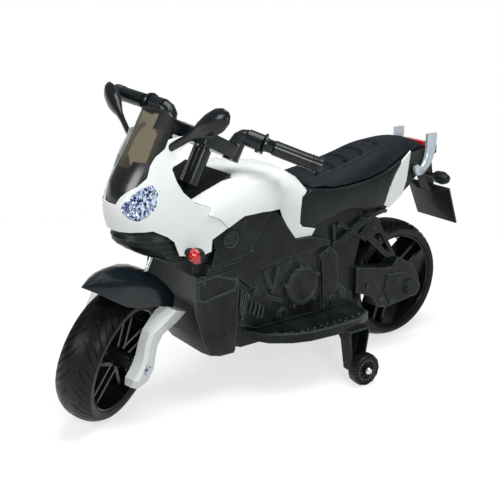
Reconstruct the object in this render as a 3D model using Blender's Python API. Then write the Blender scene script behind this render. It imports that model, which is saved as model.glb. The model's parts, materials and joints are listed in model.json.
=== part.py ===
"""Battery ride-on motorcycle for small children.

Front of the bike is towards -Y, the rider's left is +X, up is +Z, and the floor is z = 0.
Sizes are in metres. The handlebar rests turned to the left.
"""
import math

import bmesh
import bpy
from mathutils import Matrix, Vector

# Driving dimensions of the chassis and the wheels
WHEELBASE = 0.786          # axle to axle with the bars straight
FRONT_AXLE_Y = -0.421
REAR_AXLE_Y = FRONT_AXLE_Y + WHEELBASE
FRONT_R = 0.146            # front tyre, outer radius
FRONT_W = 0.085            # front tyre, width
REAR_R = 0.150
REAR_W = 0.101
TYRE_DEPTH = 0.031         # tread to bead
TREAD_CROWN = 0.016        # how far the shoulders fall below the crown
GROOVE = 0.0022            # depth of the tread grooves
GROOVE_SWEEP = 1.3         # how far a groove leans back at the shoulder, in pitches
PITCHES = 16               # grooves round each side of a tyre
RIM_WALL = 0.004
SPOKE_PAIRS = 5
AXLE_R = 0.005
HUB_R = 0.021

# Steering geometry
RAKE = math.radians(27.0)
STEER_REST = math.radians(32.5)   # turned to the left at rest
AXLE_FORWARD = 0.018              # fork offset: axle ahead of the steering axis
STEM_R = 0.005
LEG_R = 0.006
LEG_X = 0.058
YOKE_LOW = 0.150                  # heights along the steering axis, from the axle
YOKE_HIGH = 0.159
YOKE_DEPTH = 0.018
BOSS_HIGH = 0.1770                # top of the yoke's boss, under the mudguard
BOSS_R = 0.010
CLAMP_LOW = 0.466
CLAMP_HIGH = 0.496
TUBE_X = 0.0435                   # dummy fork tubes under the top clamp
TUBE_FORWARD = 0.060
TUBE_R = 0.0175
TUBE_LENGTH = 0.085
ELBOW_X = 0.081
ELBOW_FORWARD = -0.004
ELBOW_R = 0.0172
ELBOW_BEND = 0.020
ELBOW_HIGH = 0.5185               # height of the bar where it leaves the elbow
COLLAR_END = Vector((0.138, 0.010, 0.518))    # inner end of the grip, on its axis
GRIP_END = Vector((0.2514, 0.0629, 0.5206))
GRIP_R = 0.0143
COLLAR_R = 0.0183
FLANGE_R = 0.0225

# Widths across the bike, measured from the middle plane
CHASSIS_X = 0.085
FAIRING_X = 0.127
SWING_IN = 0.060
SWING_OUT = 0.098
STAB_X = 0.207             # middle of a stabiliser wheel
WALL = 0.003               # moulded plastic wall
FIT = 0.0003               # gap between parts that touch
SEAM = 0.0005              # gap along the body's visible seams
RUN = 0.0008               # running gap of turning parts

# Stabiliser wheels
STAB_R = 0.0375
STAB_W = 0.0265
STAB_Y = 0.116
STAB_RIBS = 12

# Materials as colour, roughness and metallic
WHITE = ("white_plastic", (0.86, 0.88, 0.89), 0.28, 0.0)
BLACK = ("black_plastic", (0.022, 0.023, 0.025), 0.48, 0.0)
GLOSS = ("gloss_black", (0.020, 0.022, 0.027), 0.20, 0.0)
GREY = ("engine_plastic", (0.030, 0.032, 0.034), 0.55, 0.0)
TYRE = ("tyre_plastic", (0.018, 0.018, 0.019), 0.62, 0.0)
STEEL = ("zinc_steel", (0.62, 0.64, 0.66), 0.30, 1.0)
SILVER = ("silver_plastic", (0.46, 0.53, 0.60), 0.35, 0.3)
SMOKE = ("smoke_glass", (0.20, 0.18, 0.15), 0.08, 0.0)
CLEAR = ("clear_lens", (0.75, 0.82, 0.95), 0.06, 0.0)
RED = ("red_lens", (0.62, 0.02, 0.02), 0.15, 0.0)
PLATED = ("plated_reflector", (0.78, 0.80, 0.84), 0.12, 1.0)
SEAT = ("seat_leather", (0.022, 0.024, 0.030), 0.45, 0.0)
BATTERY_CASE = ("battery_case", (0.10, 0.11, 0.13), 0.55, 0.0)


# Body outlines in side view, as (y, z), and stations along the bike
NOSE_REAR = -0.190
CHASSIS_LOW = 0.112
CHASSIS_TOP = 0.437
CHASSIS_SIDE = [
    (-0.2615, 0.3340), (-0.2615, 0.3005), (-0.1545, 0.3005), (-0.1545, 0.1180), (-0.140, CHASSIS_LOW),
    (0.165, CHASSIS_LOW), (0.185, 0.140), (0.185, 0.235), (0.205, 0.305), (0.202, 0.395), (0.060, 0.395),
    (0.010, CHASSIS_TOP), (-0.205, CHASSIS_TOP), (-0.238, 0.400),
]
BATTERY_SIZE = (0.151, 0.065, 0.094)
BATTERY_Y = -0.060
WINDSHIELD_BEND = 7.1
WINDSHIELD_LINE = [(0.450, -0.4000), (0.475, -0.3970), (0.500, -0.3885), (0.539, -0.3640), (0.605, -0.3240),
                   (0.645, -0.3010)]
WINDSHIELD_TOP = [(0.0685, 0.566), (0.0675, 0.585), (0.0650, 0.605), (0.0600, 0.626), (0.0500, 0.636),
                  (0.0250, 0.6405)]
DUCT_CORNER = -0.300
DUCT_REAR = -0.2620
DUCT_STEP = 0.0026
DUCT_ROWS = [
    # height, front point, half width
    (0.411, -0.3895, 0.0845), (0.398, -0.3905, 0.0845), (0.386, -0.3920, 0.0845), (0.374, -0.3880, 0.0840),
    (0.362, -0.3720, 0.0835), (0.350, -0.3520, 0.0820), (0.341, -0.3300, 0.0800), (0.3345, -0.3000, 0.0760),
]
LINER_FLOOR = 0.4376
LINER_SHRINK = 0.012
LINER_SIDE = [(-0.42, 0.430), (-0.264, 0.430), (-0.2720, 0.4625), (-0.2940, 0.4860), (-0.3050, 0.5100),
              (-0.3100, 0.532), (-0.42, 0.532)]
MIRROR_FOOT = (0.083, -0.304, 0.575)
MIRROR_HEAD = (0.1945, -0.280, 0.6355)
MIRROR_SECTIONS = [
    # share of the way from foot to head, half width, half thickness
    (-0.10, 0.0040, 0.0025), (-0.05, 0.0080, 0.0045), (0.15, 0.0085, 0.0050), (0.40, 0.0080, 0.0055),
    (0.58, 0.0110, 0.0075), (0.74, 0.0185, 0.0120), (0.92, 0.0235, 0.0150), (1.12, 0.0235, 0.0140),
    (1.26, 0.0170, 0.0095), (1.33, 0.0080, 0.0040),
]
TANK_FRONT_TOP = -0.163
TANK_STATIONS = [
    # y, height of the crest, half width at the bulge, half width at the lower edge
    (-0.2720, 0.4660, 0.1230, 0.1220), (-0.2350, 0.4810, 0.1270, 0.1235), (-0.1900, 0.4970, 0.1300, 0.1230),
    (-0.1400, 0.5050, 0.1315, 0.1210), (-0.0950, 0.5040, 0.1300, 0.1160), (-0.0660, 0.5010, 0.1220, 0.1080),
    (-0.0450, 0.4990, 0.1080, 0.1000), (-0.0150, 0.4950, 0.0970, 0.0960), (0.0200, 0.4740, 0.0930, 0.0930),
    (0.0450, 0.4480, 0.0915, 0.0915), (0.0700, 0.4180, 0.0910, 0.0910),
]
SEAM_LINE = [(-0.2705, 0.4640), (-0.2360, 0.4510), (-0.2450, 0.4370), (-0.2200, 0.4250), (-0.2000, 0.4040)]
TANK_SIDE = [
    # from the fairing's seam back along the lower edge and over the top
    (-0.162, 0.4235), (-0.115, 0.4245),
    (-0.060, 0.4205), (-0.0535, 0.4105), (0.000, 0.3385), (0.050, 0.3355), (0.0605, 0.3500), (0.0215, 0.3610),
    (0.0145, 0.3705), (0.0200, 0.4290), (0.0480, 0.4405), (0.0400, 0.5200), (-0.2685, 0.5200),
]
SPAR_SIDE = [
    (-0.232, 0.3185), (-0.137, 0.3300), (-0.0775, 0.4150), (-0.0545, 0.4085), (-0.0005, 0.3375),
    (0.0505, 0.3345), (0.0975, 0.3180), (0.0990, 0.3105), (-0.011, 0.3000), (-0.093, 0.2905),
    (-0.1085, 0.2490), (-0.1220, 0.2490), (-0.1535, 0.2785), (-0.1535, 0.3022), (-0.236, 0.3030),
]
PANEL_OUT = 0.1125
PANEL_SIDE = [
    (-0.228, 0.3805), (-0.221, 0.3580), (-0.232, 0.3215), (-0.1385, 0.3330), (-0.0800, 0.4185), (-0.117, 0.4240),
    (-0.161, 0.4228), (-0.200, 0.4020),
]
SPEAKER_AT = (-0.186, 0.3745)
SPEAKER_R = 0.0185
TURN_X = 0.143
TURN_NECK = 0.0095
TURN_AT = (-0.284, 0.3640)
BELLY_REAR = -0.1550
BELLY_TOP = 0.3000
BELLY_FLANK = 0.0970
BELLY_MID = 0.0600
BELLY_ROWS = [
    # height, y of the middle of the front, y and x of the front corner
    (0.3000, -0.2450, -0.2610, 0.0975), (0.2450, -0.2450, -0.2610, 0.0975), (0.2220, -0.2430, -0.2612, 0.0920),
    (0.1500, -0.2420, -0.2380, 0.0880), (0.1120, -0.2250, -0.2190, 0.0850), (0.1020, -0.1950, -0.1900, 0.0800),
]
BELLY_LID = [(0.0, -0.2440), (BELLY_MID, -0.2440), (0.0965, -0.2600), (0.0965, -0.1560)]
BELLY_PANEL = [(-0.2600, 0.2930), (-0.2100, 0.2975), (-0.1580, 0.2780), (-0.1650, 0.2540), (-0.2450, 0.2440),
               (-0.2600, 0.2500)]
ENGINE_SIDE = [
    (-0.1535, 0.2755), (-0.1230, 0.2465), (-0.1070, 0.2465), (-0.0915, 0.2880), (-0.0110, 0.2975),
    (0.0990, 0.3080), (0.1250, 0.2800), (0.1310, 0.2050), (0.1550, 0.1900), (0.1600, 0.1503), (-0.1000, 0.1503),
    (-0.1535, 0.1700),
]
FIN_BANKS = [
    (4, ((-0.146, 0.251), (-0.127, 0.238)), ((-0.151, 0.206), (-0.146, 0.184))),
    (4, ((-0.119, 0.219), (-0.087, 0.201)), ((-0.127, 0.195), (-0.094, 0.174))),
]
CLUTCH_AT = (0.020, 0.225)
CLUTCH_R = 0.0465
ENGINE_STUDS = [
    # y, z, radius, height above the base
    (-0.108, 0.236, 0.0095, 0.0090), (-0.063, 0.231, 0.0075, 0.0090),
    (-0.014, 0.289, 0.0040, 0.0050), (-0.032, 0.170, 0.0150, 0.0085), (0.086, 0.160, 0.0045, 0.0050),
    (0.108, 0.177, 0.0085, 0.0095), (0.138, 0.183, 0.0070, 0.0070),
]
ENGINE_PIPES = [((-0.085, 0.278), (-0.066, 0.238), 0.010), ((-0.048, 0.283), (-0.058, 0.238), 0.008),
                ((-0.080, 0.222), (-0.035, 0.200), 0.007)]
REAR_PLATE = [(0.0660, 0.2870), (0.0990, 0.3050), (0.1210, 0.2780), (0.1270, 0.2030), (0.0830, 0.1560),
              (0.0800, 0.2230), (0.0750, 0.2730)]
FOOTBOARD_TOP = 0.1480
FOOTBOARD_SKIRT = 0.0200
FOOTBOARD_LINE = [
    (0.0853, -0.1280), (0.1340, -0.1000), (0.1640, -0.0570), (0.1780, -0.0170), (0.1845, 0.0490),
    (0.1800, 0.1250), (0.1570, 0.1700), (0.0853, 0.1820),
]
STUDS = 9
PEDAL_LOW = (0.110, -0.040)        # corners of the pedal in plan, distances from the middle plane
PEDAL_HIGH = (0.155, 0.030)
PEDAL_HEEL = 0.0040                # hinge pin ahead of the pedal's rear edge
PEDAL_DROP = 0.0040                # hinge pin below the top of the footboard
PEDAL_PIN = 0.0020
STAB_IN = 0.1560
STAB_OUT = 0.1900
STAB_PIN = 0.0040
STAB_NUT = 0.0085
STAB_SPOKES = 8
AXLE_END = 0.1040
SWING_SIDE = [
    (0.1858, 0.2340), (0.2100, 0.2280), (0.3000, 0.2120), (0.3200, 0.2350), (0.3700, 0.2080), (0.3930, 0.1720),
    (0.3960, 0.1380), (0.3780, 0.1230), (0.2880, 0.1130), (0.2580, 0.1200), (0.2440, 0.1480), (0.1858, 0.1720),
]
SWING_STEP = [(0.2850, 0.1980), (0.3350, 0.1950), (0.3600, 0.1800), (0.3900, 0.1600), (0.3900, 0.1400),
              (0.3740, 0.1280), (0.2950, 0.1200), (0.2780, 0.1600)]
GEARBOX_SIDE = [(0.2055, 0.2160), (0.3000, 0.2020), (0.3400, 0.1900), (0.3420, 0.1420), (0.2900, 0.1230),
                (0.2640, 0.1280), (0.2500, 0.1560), (0.2055, 0.1760)]
HANGER_SIDE = [(0.1950, 0.3160), (0.2830, 0.2400), (0.3130, 0.2400), (0.2970, 0.2670), (0.2640, 0.3180),
               (0.2500, 0.3450), (0.2300, 0.3450)]
HANGER_HOLE = [(0.2380, 0.3000), (0.2860, 0.2520), (0.2980, 0.2480), (0.2620, 0.3050), (0.2480, 0.3080)]
STRUT_PATH = [((0.0900, 0.1100, 0.3000), (-0.0018, 0.0040)), ((0.0968, 0.1500, 0.3170), (-0.0018, 0.0040)),
              ((0.0968, 0.2350, 0.3560), (-0.0018, 0.0040)), ((0.0880, 0.2660, 0.3560), (-0.0004, 0.0040)),
              ((0.0815, 0.2860, 0.3530), (0.0004, 0.0040))]
TIE_AT = (0.2140, 0.3180)
SEAT_HALF = [(0.000, 0.0905), (0.120, 0.0905), (0.200, 0.0885), (0.250, 0.0850), (0.300, 0.0785), (0.350, 0.0710),
             (0.400, 0.0610), (0.450, 0.0510), (0.500, 0.0400)]
CUSHION = [
    # y, height of the crown, height of the lower edge, half width
    (0.0520, 0.4440, 0.4400, 0.0800), (0.0600, 0.4490, 0.4395, 0.0860), (0.0850, 0.4540, 0.4360, 0.0885),
    (0.1100, 0.4590, 0.4335, 0.0895), (0.1350, 0.4640, 0.4325, 0.0895), (0.1600, 0.4700, 0.4325, 0.0893),
    (0.1850, 0.4760, 0.4340, 0.0886), (0.2100, 0.4820, 0.4360, 0.0878), (0.2350, 0.4890, 0.4390, 0.0860),
    (0.2600, 0.4970, 0.4430, 0.0836), (0.2850, 0.5040, 0.4490, 0.0803), (0.3100, 0.5080, 0.4570, 0.0755),
    (0.3350, 0.5100, 0.4650, 0.0700), (0.3600, 0.5115, 0.4720, 0.0655), (0.3850, 0.5110, 0.4770, 0.0605),
    (0.4100, 0.5060, 0.4785, 0.0560), (0.4300, 0.4990, 0.4785, 0.0510), (0.4420, 0.4890, 0.4785, 0.0450),
    (0.4455, 0.4830, 0.4785, 0.0380),
]
SEAT_PAN_END = 0.3450
SKIRT_SIDE = [
    (0.0220, 0.4280), (0.0162, 0.3705), (0.0225, 0.3625), (0.0570, 0.3535), (0.0860, 0.3630), (0.1090, 0.3655),
    (0.1480, 0.3760), (0.1900, 0.3740), (0.2270, 0.3590), (0.2780, 0.3660), (0.2985, 0.4110), (0.3165, 0.4365),
    (0.3440, 0.4660), (0.3440, 0.5200), (0.0500, 0.5200), (0.0500, 0.4397),
]
TAIL_LAMP_Y = 0.4465
TAIL_LOW = [(0.2060, 0.3360), (0.2600, 0.3360), (0.3130, 0.3570), (0.3770, 0.3870), (0.4210, 0.4140),
            (0.4460, 0.4310), (0.4700, 0.4440), (0.4950, 0.4525)]
INSERT_SIDE = [(0.3740, 0.4830), (0.3700, 0.4600), (0.3620, 0.4130), (0.3470, 0.3820), (0.2990, 0.3580),
               (0.2800, 0.3665), (0.2990, 0.4110), (0.3175, 0.4365), (0.3455, 0.4665)]
RAIL_PATH = [
    # y, z and breadth along the centre line of a handle
    (0.3940, 0.4440, 0.014), (0.4000, 0.4300, 0.020), (0.4220, 0.4300, 0.020), (0.4430, 0.4500, 0.024),
    (0.4530, 0.4800, 0.030), (0.4540, 0.5150, 0.032),
]
RAIL_OFF = 0.0020
RAIL_BAR_AT = (0.4060, 0.4310)
RAIL_BAR_R = 0.0035
RAIL_THICK = 0.0100
PLATE_TOP = (0.5150, 0.3720)
PLATE_LOW = (0.5560, 0.2750)
PLATE_HALF = 0.0670
INDICATOR_FACE = 0.4900


# Helpers that turn outlines into closed solids
def material(spec):
    """The named material, made once."""
    name, colour, rough, metal = spec
    mat = bpy.data.materials.get(name)
    if mat is None:
        mat = bpy.data.materials.new(name)
        mat.use_nodes = True
        shader = mat.node_tree.nodes["Principled BSDF"]
        shader.inputs["Base Color"].default_value = (*colour, 1.0)
        shader.inputs["Roughness"].default_value = rough
        shader.inputs["Metallic"].default_value = metal
    return mat


def finish(name, bm, spec, parent=None, angle=32.0):
    """Makes an object of the mesh, faces out, smooth where it is round."""
    bmesh.ops.recalc_face_normals(bm, faces=bm.faces)
    if bm.calc_volume(signed=True) < 0:
        bmesh.ops.reverse_faces(bm, faces=bm.faces)
    mesh = bpy.data.meshes.new(name)
    bm.to_mesh(mesh)
    bm.free()
    mesh.shade_smooth()
    mesh.set_sharp_from_angle(angle=math.radians(angle))
    mesh.materials.append(material(spec))
    obj = bpy.data.objects.new(name, mesh)
    bpy.context.scene.collection.objects.link(obj)
    if parent is not None:
        obj.parent = parent
    return obj


def loft(rings, closed_path=False):
    """Skins rings of equal length. The ends are capped unless the path closes."""
    bm = bmesh.new()
    rows = [[bm.verts.new(point) for point in ring] for ring in rings]
    count = len(rows[0])
    pairs = list(zip(rows, rows[1:]))
    if closed_path:
        pairs.append((rows[-1], rows[0]))
    for low, high in pairs:
        for i in range(count):
            j = (i + 1) % count
            bm.faces.new((low[i], low[j], high[j], high[i]))
    if not closed_path:
        bm.faces.new(rows[0])
        bm.faces.new(rows[-1])
    bmesh.ops.recalc_face_normals(bm, faces=bm.faces)
    return bm


def prism(outline, low, high, across="X"):
    """An outline swept straight across: (y, z) along X, (x, z) along Y or (x, y) along Z."""
    place = {
        "X": lambda a, b, c: (c, a, b),
        "Y": lambda a, b, c: (a, c, b),
        "Z": lambda a, b, c: (a, b, c),
    }[across]
    return loft([[place(a, b, low) for a, b in outline], [place(a, b, high) for a, b in outline]])


def box(low, high):
    """A block between two corners."""
    outline = [(low[0], low[1]), (high[0], low[1]), (high[0], high[1]), (low[0], high[1])]
    return prism(outline, low[2], high[2], "Z")


def lathe(profile, segments, origin=(0, 0, 0), direction=(1, 0, 0), start=0.0):
    """Turns a closed profile of (along, radius) points about a line. A radius of 0 meets it."""
    bm = bmesh.new()
    turn = Vector((1, 0, 0)).rotation_difference(Vector(direction)).to_matrix()
    base = Vector(origin)
    rows = []
    for along, radius in profile:
        if radius <= 0.0:
            rows.append([bm.verts.new(base + turn @ Vector((along, 0, 0)))])
            continue
        row = []
        for i in range(segments):
            angle = start + 2 * math.pi * i / segments
            point = Vector((along, radius * math.cos(angle), radius * math.sin(angle)))
            row.append(bm.verts.new(base + turn @ point))
        rows.append(row)
    ends_on_line = len(rows[0]) == 1 and len(rows[-1]) == 1
    pairs = list(zip(rows, rows[1:]))
    if not ends_on_line:
        pairs.append((rows[-1], rows[0]))
    for low, high in pairs:
        for i in range(segments):
            j = (i + 1) % segments
            ring = [low[i % len(low)], low[j % len(low)], high[j % len(high)], high[i % len(high)]]
            corners = list(dict.fromkeys(ring))
            if len(corners) > 2:
                bm.faces.new(corners)
    bmesh.ops.recalc_face_normals(bm, faces=bm.faces)
    return bm


def rod(start, end, radius, segments=12):
    """A plain round bar between two points."""
    start, end = Vector(start), Vector(end)
    length = (end - start).length
    profile = [(0, 0), (0, radius), (length, radius), (length, 0)]
    return lathe(profile, segments, start, end - start)


def tube(points, radii, segments=10):
    """A bar that follows points, round in section, with its own radius at each."""
    points = [Vector(p) for p in points]
    rings = []
    side = None
    for i, point in enumerate(points):
        ahead = points[min(i + 1, len(points) - 1)] - points[max(i - 1, 0)]
        ahead.normalize()
        if side is None:
            side = ahead.orthogonal().normalized()
        side = (side - ahead * side.dot(ahead)).normalized()
        other = ahead.cross(side)
        ring = []
        for k in range(segments):
            angle = 2 * math.pi * k / segments
            ring.append(point + (side * math.cos(angle) + other * math.sin(angle)) * radii[i])
        rings.append(ring)
    return loft(rings)


def boolean(base, others, operation):
    """Joins or cuts closed meshes and returns the result."""
    temp = []
    for bm in [base] + list(others):
        bmesh.ops.recalc_face_normals(bm, faces=bm.faces)
        mesh = bpy.data.meshes.new("temp")
        bm.to_mesh(mesh)
        bm.free()
        obj = bpy.data.objects.new("temp", mesh)
        bpy.context.scene.collection.objects.link(obj)
        temp.append(obj)
    for other in temp[1:]:
        modifier = temp[0].modifiers.new("join", "BOOLEAN")
        modifier.operation = operation
        modifier.solver = "EXACT"
        modifier.object = other
    graph = bpy.context.evaluated_depsgraph_get()
    result = bmesh.new()
    result.from_mesh(temp[0].evaluated_get(graph).to_mesh())
    for obj in temp:
        mesh = obj.data
        bpy.data.objects.remove(obj)
        bpy.data.meshes.remove(mesh)
    bmesh.ops.dissolve_degenerate(result, dist=1e-6, edges=result.edges)
    bmesh.ops.dissolve_limit(result, angle_limit=math.radians(0.2), verts=result.verts, edges=result.edges)
    return result


def union(base, *others):
    return boolean(base, others, "UNION")


def cut(base, *others):
    return boolean(base, others, "DIFFERENCE")


def shared(base, *others):
    return boolean(base, others, "INTERSECT")


def mirrored(bm, side):
    """The left-hand shape as it is, or turned over to the right."""
    if side < 0:
        bmesh.ops.scale(bm, vec=(-1, 1, 1), verts=bm.verts)
        bmesh.ops.reverse_faces(bm, faces=bm.faces)
    return bm


def both_sides(name, build, spec, parent=None):
    """A left and a right copy of a shape that build() makes for the left."""
    left = finish(name + "_left", mirrored(build(), 1), spec, parent)
    right = finish(name + "_right", mirrored(build(), -1), spec, parent)
    return left, right


def inset(outline, distance):
    """Moves every side of a counter-clockwise or clockwise outline inwards."""
    area = sum(a[0] * b[1] - b[0] * a[1] for a, b in zip(outline, outline[1:] + outline[:1]))
    turn = 1 if area > 0 else -1
    result = []
    for before, here, after in zip(outline[-1:] + outline[:-1], outline, outline[1:] + outline[:1]):
        first = Vector((here[0] - before[0], here[1] - before[1])).normalized()
        second = Vector((after[0] - here[0], after[1] - here[1])).normalized()
        n1 = Vector((-first.y, first.x)) * turn
        n2 = Vector((-second.y, second.x)) * turn
        middle = (n1 + n2) / (1 + n1.dot(n2))
        result.append((here[0] + middle.x * distance, here[1] + middle.y * distance))
    return result


def bevelled(bm, width, segments=1, angle=40.0):
    """Rounds the edges that are sharper than the angle."""
    edges = [e for e in bm.edges if len(e.link_faces) == 2 and e.calc_face_angle(0) > math.radians(angle)]
    bmesh.ops.bevel(bm, geom=edges, offset=width, segments=segments, profile=0.5, affect="EDGES",
                    clamp_overlap=True)
    return bm


def spline(points, per_span):
    """A smooth curve through points, as a longer list."""
    points = [Vector(p) for p in points]
    padded = [2 * points[0] - points[1]] + points + [2 * points[-1] - points[-2]]
    result = []
    for i in range(1, len(padded) - 2):
        p0, p1, p2, p3 = padded[i - 1:i + 3]
        for k in range(per_span):
            t = k / per_span
            result.append(0.5 * (2 * p1 + (p2 - p0) * t + (2 * p0 - 5 * p1 + 4 * p2 - p3) * t * t
                                 + (3 * p1 - p0 - 3 * p2 + p3) * t ** 3))
    result.append(points[-1])
    return result


def shell(rows, thickness):
    """Thickens an open grid of points inwards into a closed moulding."""
    bm = bmesh.new()
    grid = [[bm.verts.new(point) for point in row] for row in rows]
    for low, high in zip(grid, grid[1:]):
        for i in range(len(low) - 1):
            bm.faces.new((low[i], low[i + 1], high[i + 1], high[i]))
    bm.normal_update()
    inner = {v: bm.verts.new(v.co - v.normal * thickness) for row in grid for v in row}
    for face in list(bm.faces):
        bm.faces.new([inner[v] for v in reversed(face.verts)])
    for edge in [e for e in bm.edges if len(e.link_faces) == 1 and e.verts[0] in inner]:
        a, b = edge.verts
        bm.faces.new((a, b, inner[b], inner[a]))
    bmesh.ops.recalc_face_normals(bm, faces=bm.faces)
    return bm


# The tyre: a crowned band whose grooves sweep back from the middle on both sides
def tyre_profile(width, radius):
    """(side, radius) from the left bead over the tread to the right bead."""
    half = width / 2
    bead = radius - TYRE_DEPTH
    sides = [1.0, 0.66, 0.22]
    outer = [(-half, bead)]
    outer += [(-half * 1.0, radius - TREAD_CROWN)]
    outer += [(-half * s, radius - TREAD_CROWN * s ** 2.6) for s in sides[1:]]
    return outer + [(-s, r) for s, r in reversed(outer)]


def tyre(name, width, radius, parent):
    """Columns of the mesh follow the grooves, so a groove is a column that is pushed in."""
    outer = tyre_profile(width, radius)
    half = width / 2
    pitch = 2 * math.pi / PITCHES
    bm = bmesh.new()
    columns = []
    for n in range(PITCHES):
        for k, part in enumerate((0.0, 0.16, 0.32)):
            column = []
            for side, r in outer:
                share = abs(side) / half
                angle = pitch * (n + part + GROOVE_SWEEP * share ** 1.3)
                depth = GROOVE if k == 1 and 0.3 < share < 0.99 else 0.0
                column.append(bm.verts.new((side, (r - depth) * math.cos(angle), (r - depth) * math.sin(angle))))
            columns.append(column)
    count = len(columns[0])
    for a, b in zip(columns, columns[1:] + columns[:1]):
        for i in range(count):
            j = (i + 1) % count
            bm.faces.new((a[i], a[j], b[j], b[i]))
    return finish(name, bm, TYRE, parent, 30.0)


def rim(name, width, radius, hub_half, parent):
    """Barrel, hub and pairs of straight spokes, joined into one moulding with its bore."""
    flat = math.cos(math.pi / PITCHES * 0.68)
    bead = (radius - TYRE_DEPTH) * flat - FIT
    half = width / 2
    outer = [(half * 0.92, bead), (half * 0.86, bead - RIM_WALL), (-half * 0.86, bead - RIM_WALL),
             (-half * 0.92, bead)]
    parts = []
    bore = AXLE_R + RUN
    parts.append(lathe([(hub_half, bore), (hub_half, HUB_R * 0.7), (half * 0.5, HUB_R), (-half * 0.5, HUB_R),
                        (-hub_half, HUB_R * 0.7), (-hub_half, bore)], 12))
    spoke_gap = 0.030
    spoke_thick = 0.0085
    reach = bead - RIM_WALL * 0.6
    for n in range(SPOKE_PAIRS):
        angle = 2 * math.pi * (n + 0.25) / SPOKE_PAIRS
        for offset in (-spoke_gap / 2, spoke_gap / 2):
            low, high = offset - spoke_thick / 2, offset + spoke_thick / 2
            spoke = box((-half * 0.5, low, HUB_R * 0.45), (half * 0.5, high, reach))
            bmesh.ops.rotate(spoke, verts=spoke.verts, matrix=Matrix.Rotation(angle, 3, "X"))
            parts.append(spoke)
    body = union(lathe(outer, PITCHES * 2), *parts)
    body = cut(body, rod((-1, 0, 0), (1, 0, 0), bore, 12))
    return finish(name, body, GLOSS, parent)


# Steering frame: local z runs up the steering axis, local -y points forward, z = 0 at the axle
def steering_frame():
    """Empty on the steering axis, at the height that lets the turned front tyre touch the floor."""
    tilt = Matrix.Rotation(-RAKE, 3, "X")
    turned = tilt @ Matrix.Rotation(STEER_REST, 3, "Z")
    wheel_line = turned @ Vector((1, 0, 0))
    upright = math.sqrt(1 - wheel_line.z ** 2)
    reach = max(r * upright + s * abs(wheel_line.z) for s, r in tyre_profile(FRONT_W, FRONT_R))
    axle_offset = Vector((0, -AXLE_FORWARD, 0))
    origin_z = reach - (turned @ axle_offset).z
    origin_y = FRONT_AXLE_Y - (tilt @ axle_offset).y
    empty = bpy.data.objects.new("steering_axis", None)
    bpy.context.scene.collection.objects.link(empty)
    empty.location = (0, origin_y, origin_z)
    empty.rotation_euler = turned.to_euler()
    return empty


def axis_point(steering, height):
    """A point of the steering axis, in the world, by its height along the axis."""
    return Vector(steering.location) + Vector((0, math.sin(RAKE), math.cos(RAKE))) * height


def make_front_wheel(steering):
    hub = bpy.data.objects.new("front_wheel_axis", None)
    bpy.context.scene.collection.objects.link(hub)
    hub.parent = steering
    hub.location = (0, -AXLE_FORWARD, 0)
    tyre("front_tyre", FRONT_W, FRONT_R, hub)
    rim("front_rim", FRONT_W, FRONT_R, LEG_X - LEG_R - 0.0015, hub)


COVER_OUT = 0.0885         # outer face of a fork cover
COVER_SWELL = 0.001        # how far its middle stands proud
NUT_R = 0.0095
NUT_T = 0.008


def make_front_axle(steering):
    """Steel rod with a nut at each end, against the fork covers."""
    nut = COVER_OUT + COVER_SWELL + FIT
    end = nut + NUT_T
    profile = [(-end, 0), (-end, NUT_R), (-nut, NUT_R), (-nut, AXLE_R), (nut, AXLE_R), (nut, NUT_R),
               (end, NUT_R), (end, 0)]
    axle = finish("front_axle", lathe(profile, 12), STEEL, steering, 30)
    axle.location = (0, -AXLE_FORWARD, 0)


def yoke_block(grow):
    """The plate across the top of the fork, or the room it takes when grown."""
    half = LEG_X + LEG_R + 0.001 + grow
    return box((-half, -YOKE_DEPTH - grow, YOKE_LOW - grow), (half, YOKE_DEPTH + grow, YOKE_HIGH + grow))


def make_fork(steering):
    """Yoke plate over the wheel with a leg tube down each side to a drop-out on the axle."""
    yoke = yoke_block(0.0)
    parts = []
    for side in (-1, 1):
        x = side * LEG_X
        parts.append(rod((x, 0, YOKE_LOW + 0.003), (x, -AXLE_FORWARD * 0.55, AXLE_R * 1.5), LEG_R, 10))
        low = (x - LEG_R * 0.7, -AXLE_FORWARD - AXLE_R * 2.2, -AXLE_R * 2.2)
        high = (x + LEG_R * 0.7, -AXLE_FORWARD + AXLE_R * 2.2, AXLE_R * 3)
        parts.append(box(low, high))
    parts.append(rod((0, 0, YOKE_LOW + 0.001), (0, 0, BOSS_HIGH), BOSS_R, 12))
    body = union(yoke, *parts)
    axle = rod((-1, -AXLE_FORWARD, 0), (1, -AXLE_FORWARD, 0), AXLE_R + FIT, 12)
    stem = rod((0, 0, YOKE_LOW - 0.01), (0, 0, BOSS_HIGH + 0.01), STEM_R + FIT, 12)
    return finish("fork", cut(body, axle, stem), STEEL, steering)


def make_stem(steering):
    """Steel rod from the fork's yoke up into the top clamp."""
    stem = rod((0, 0, YOKE_LOW), (0, 0, CLAMP_HIGH - 0.006), STEM_R, 12)
    return finish("steering_stem", stem, STEEL, steering)


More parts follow.
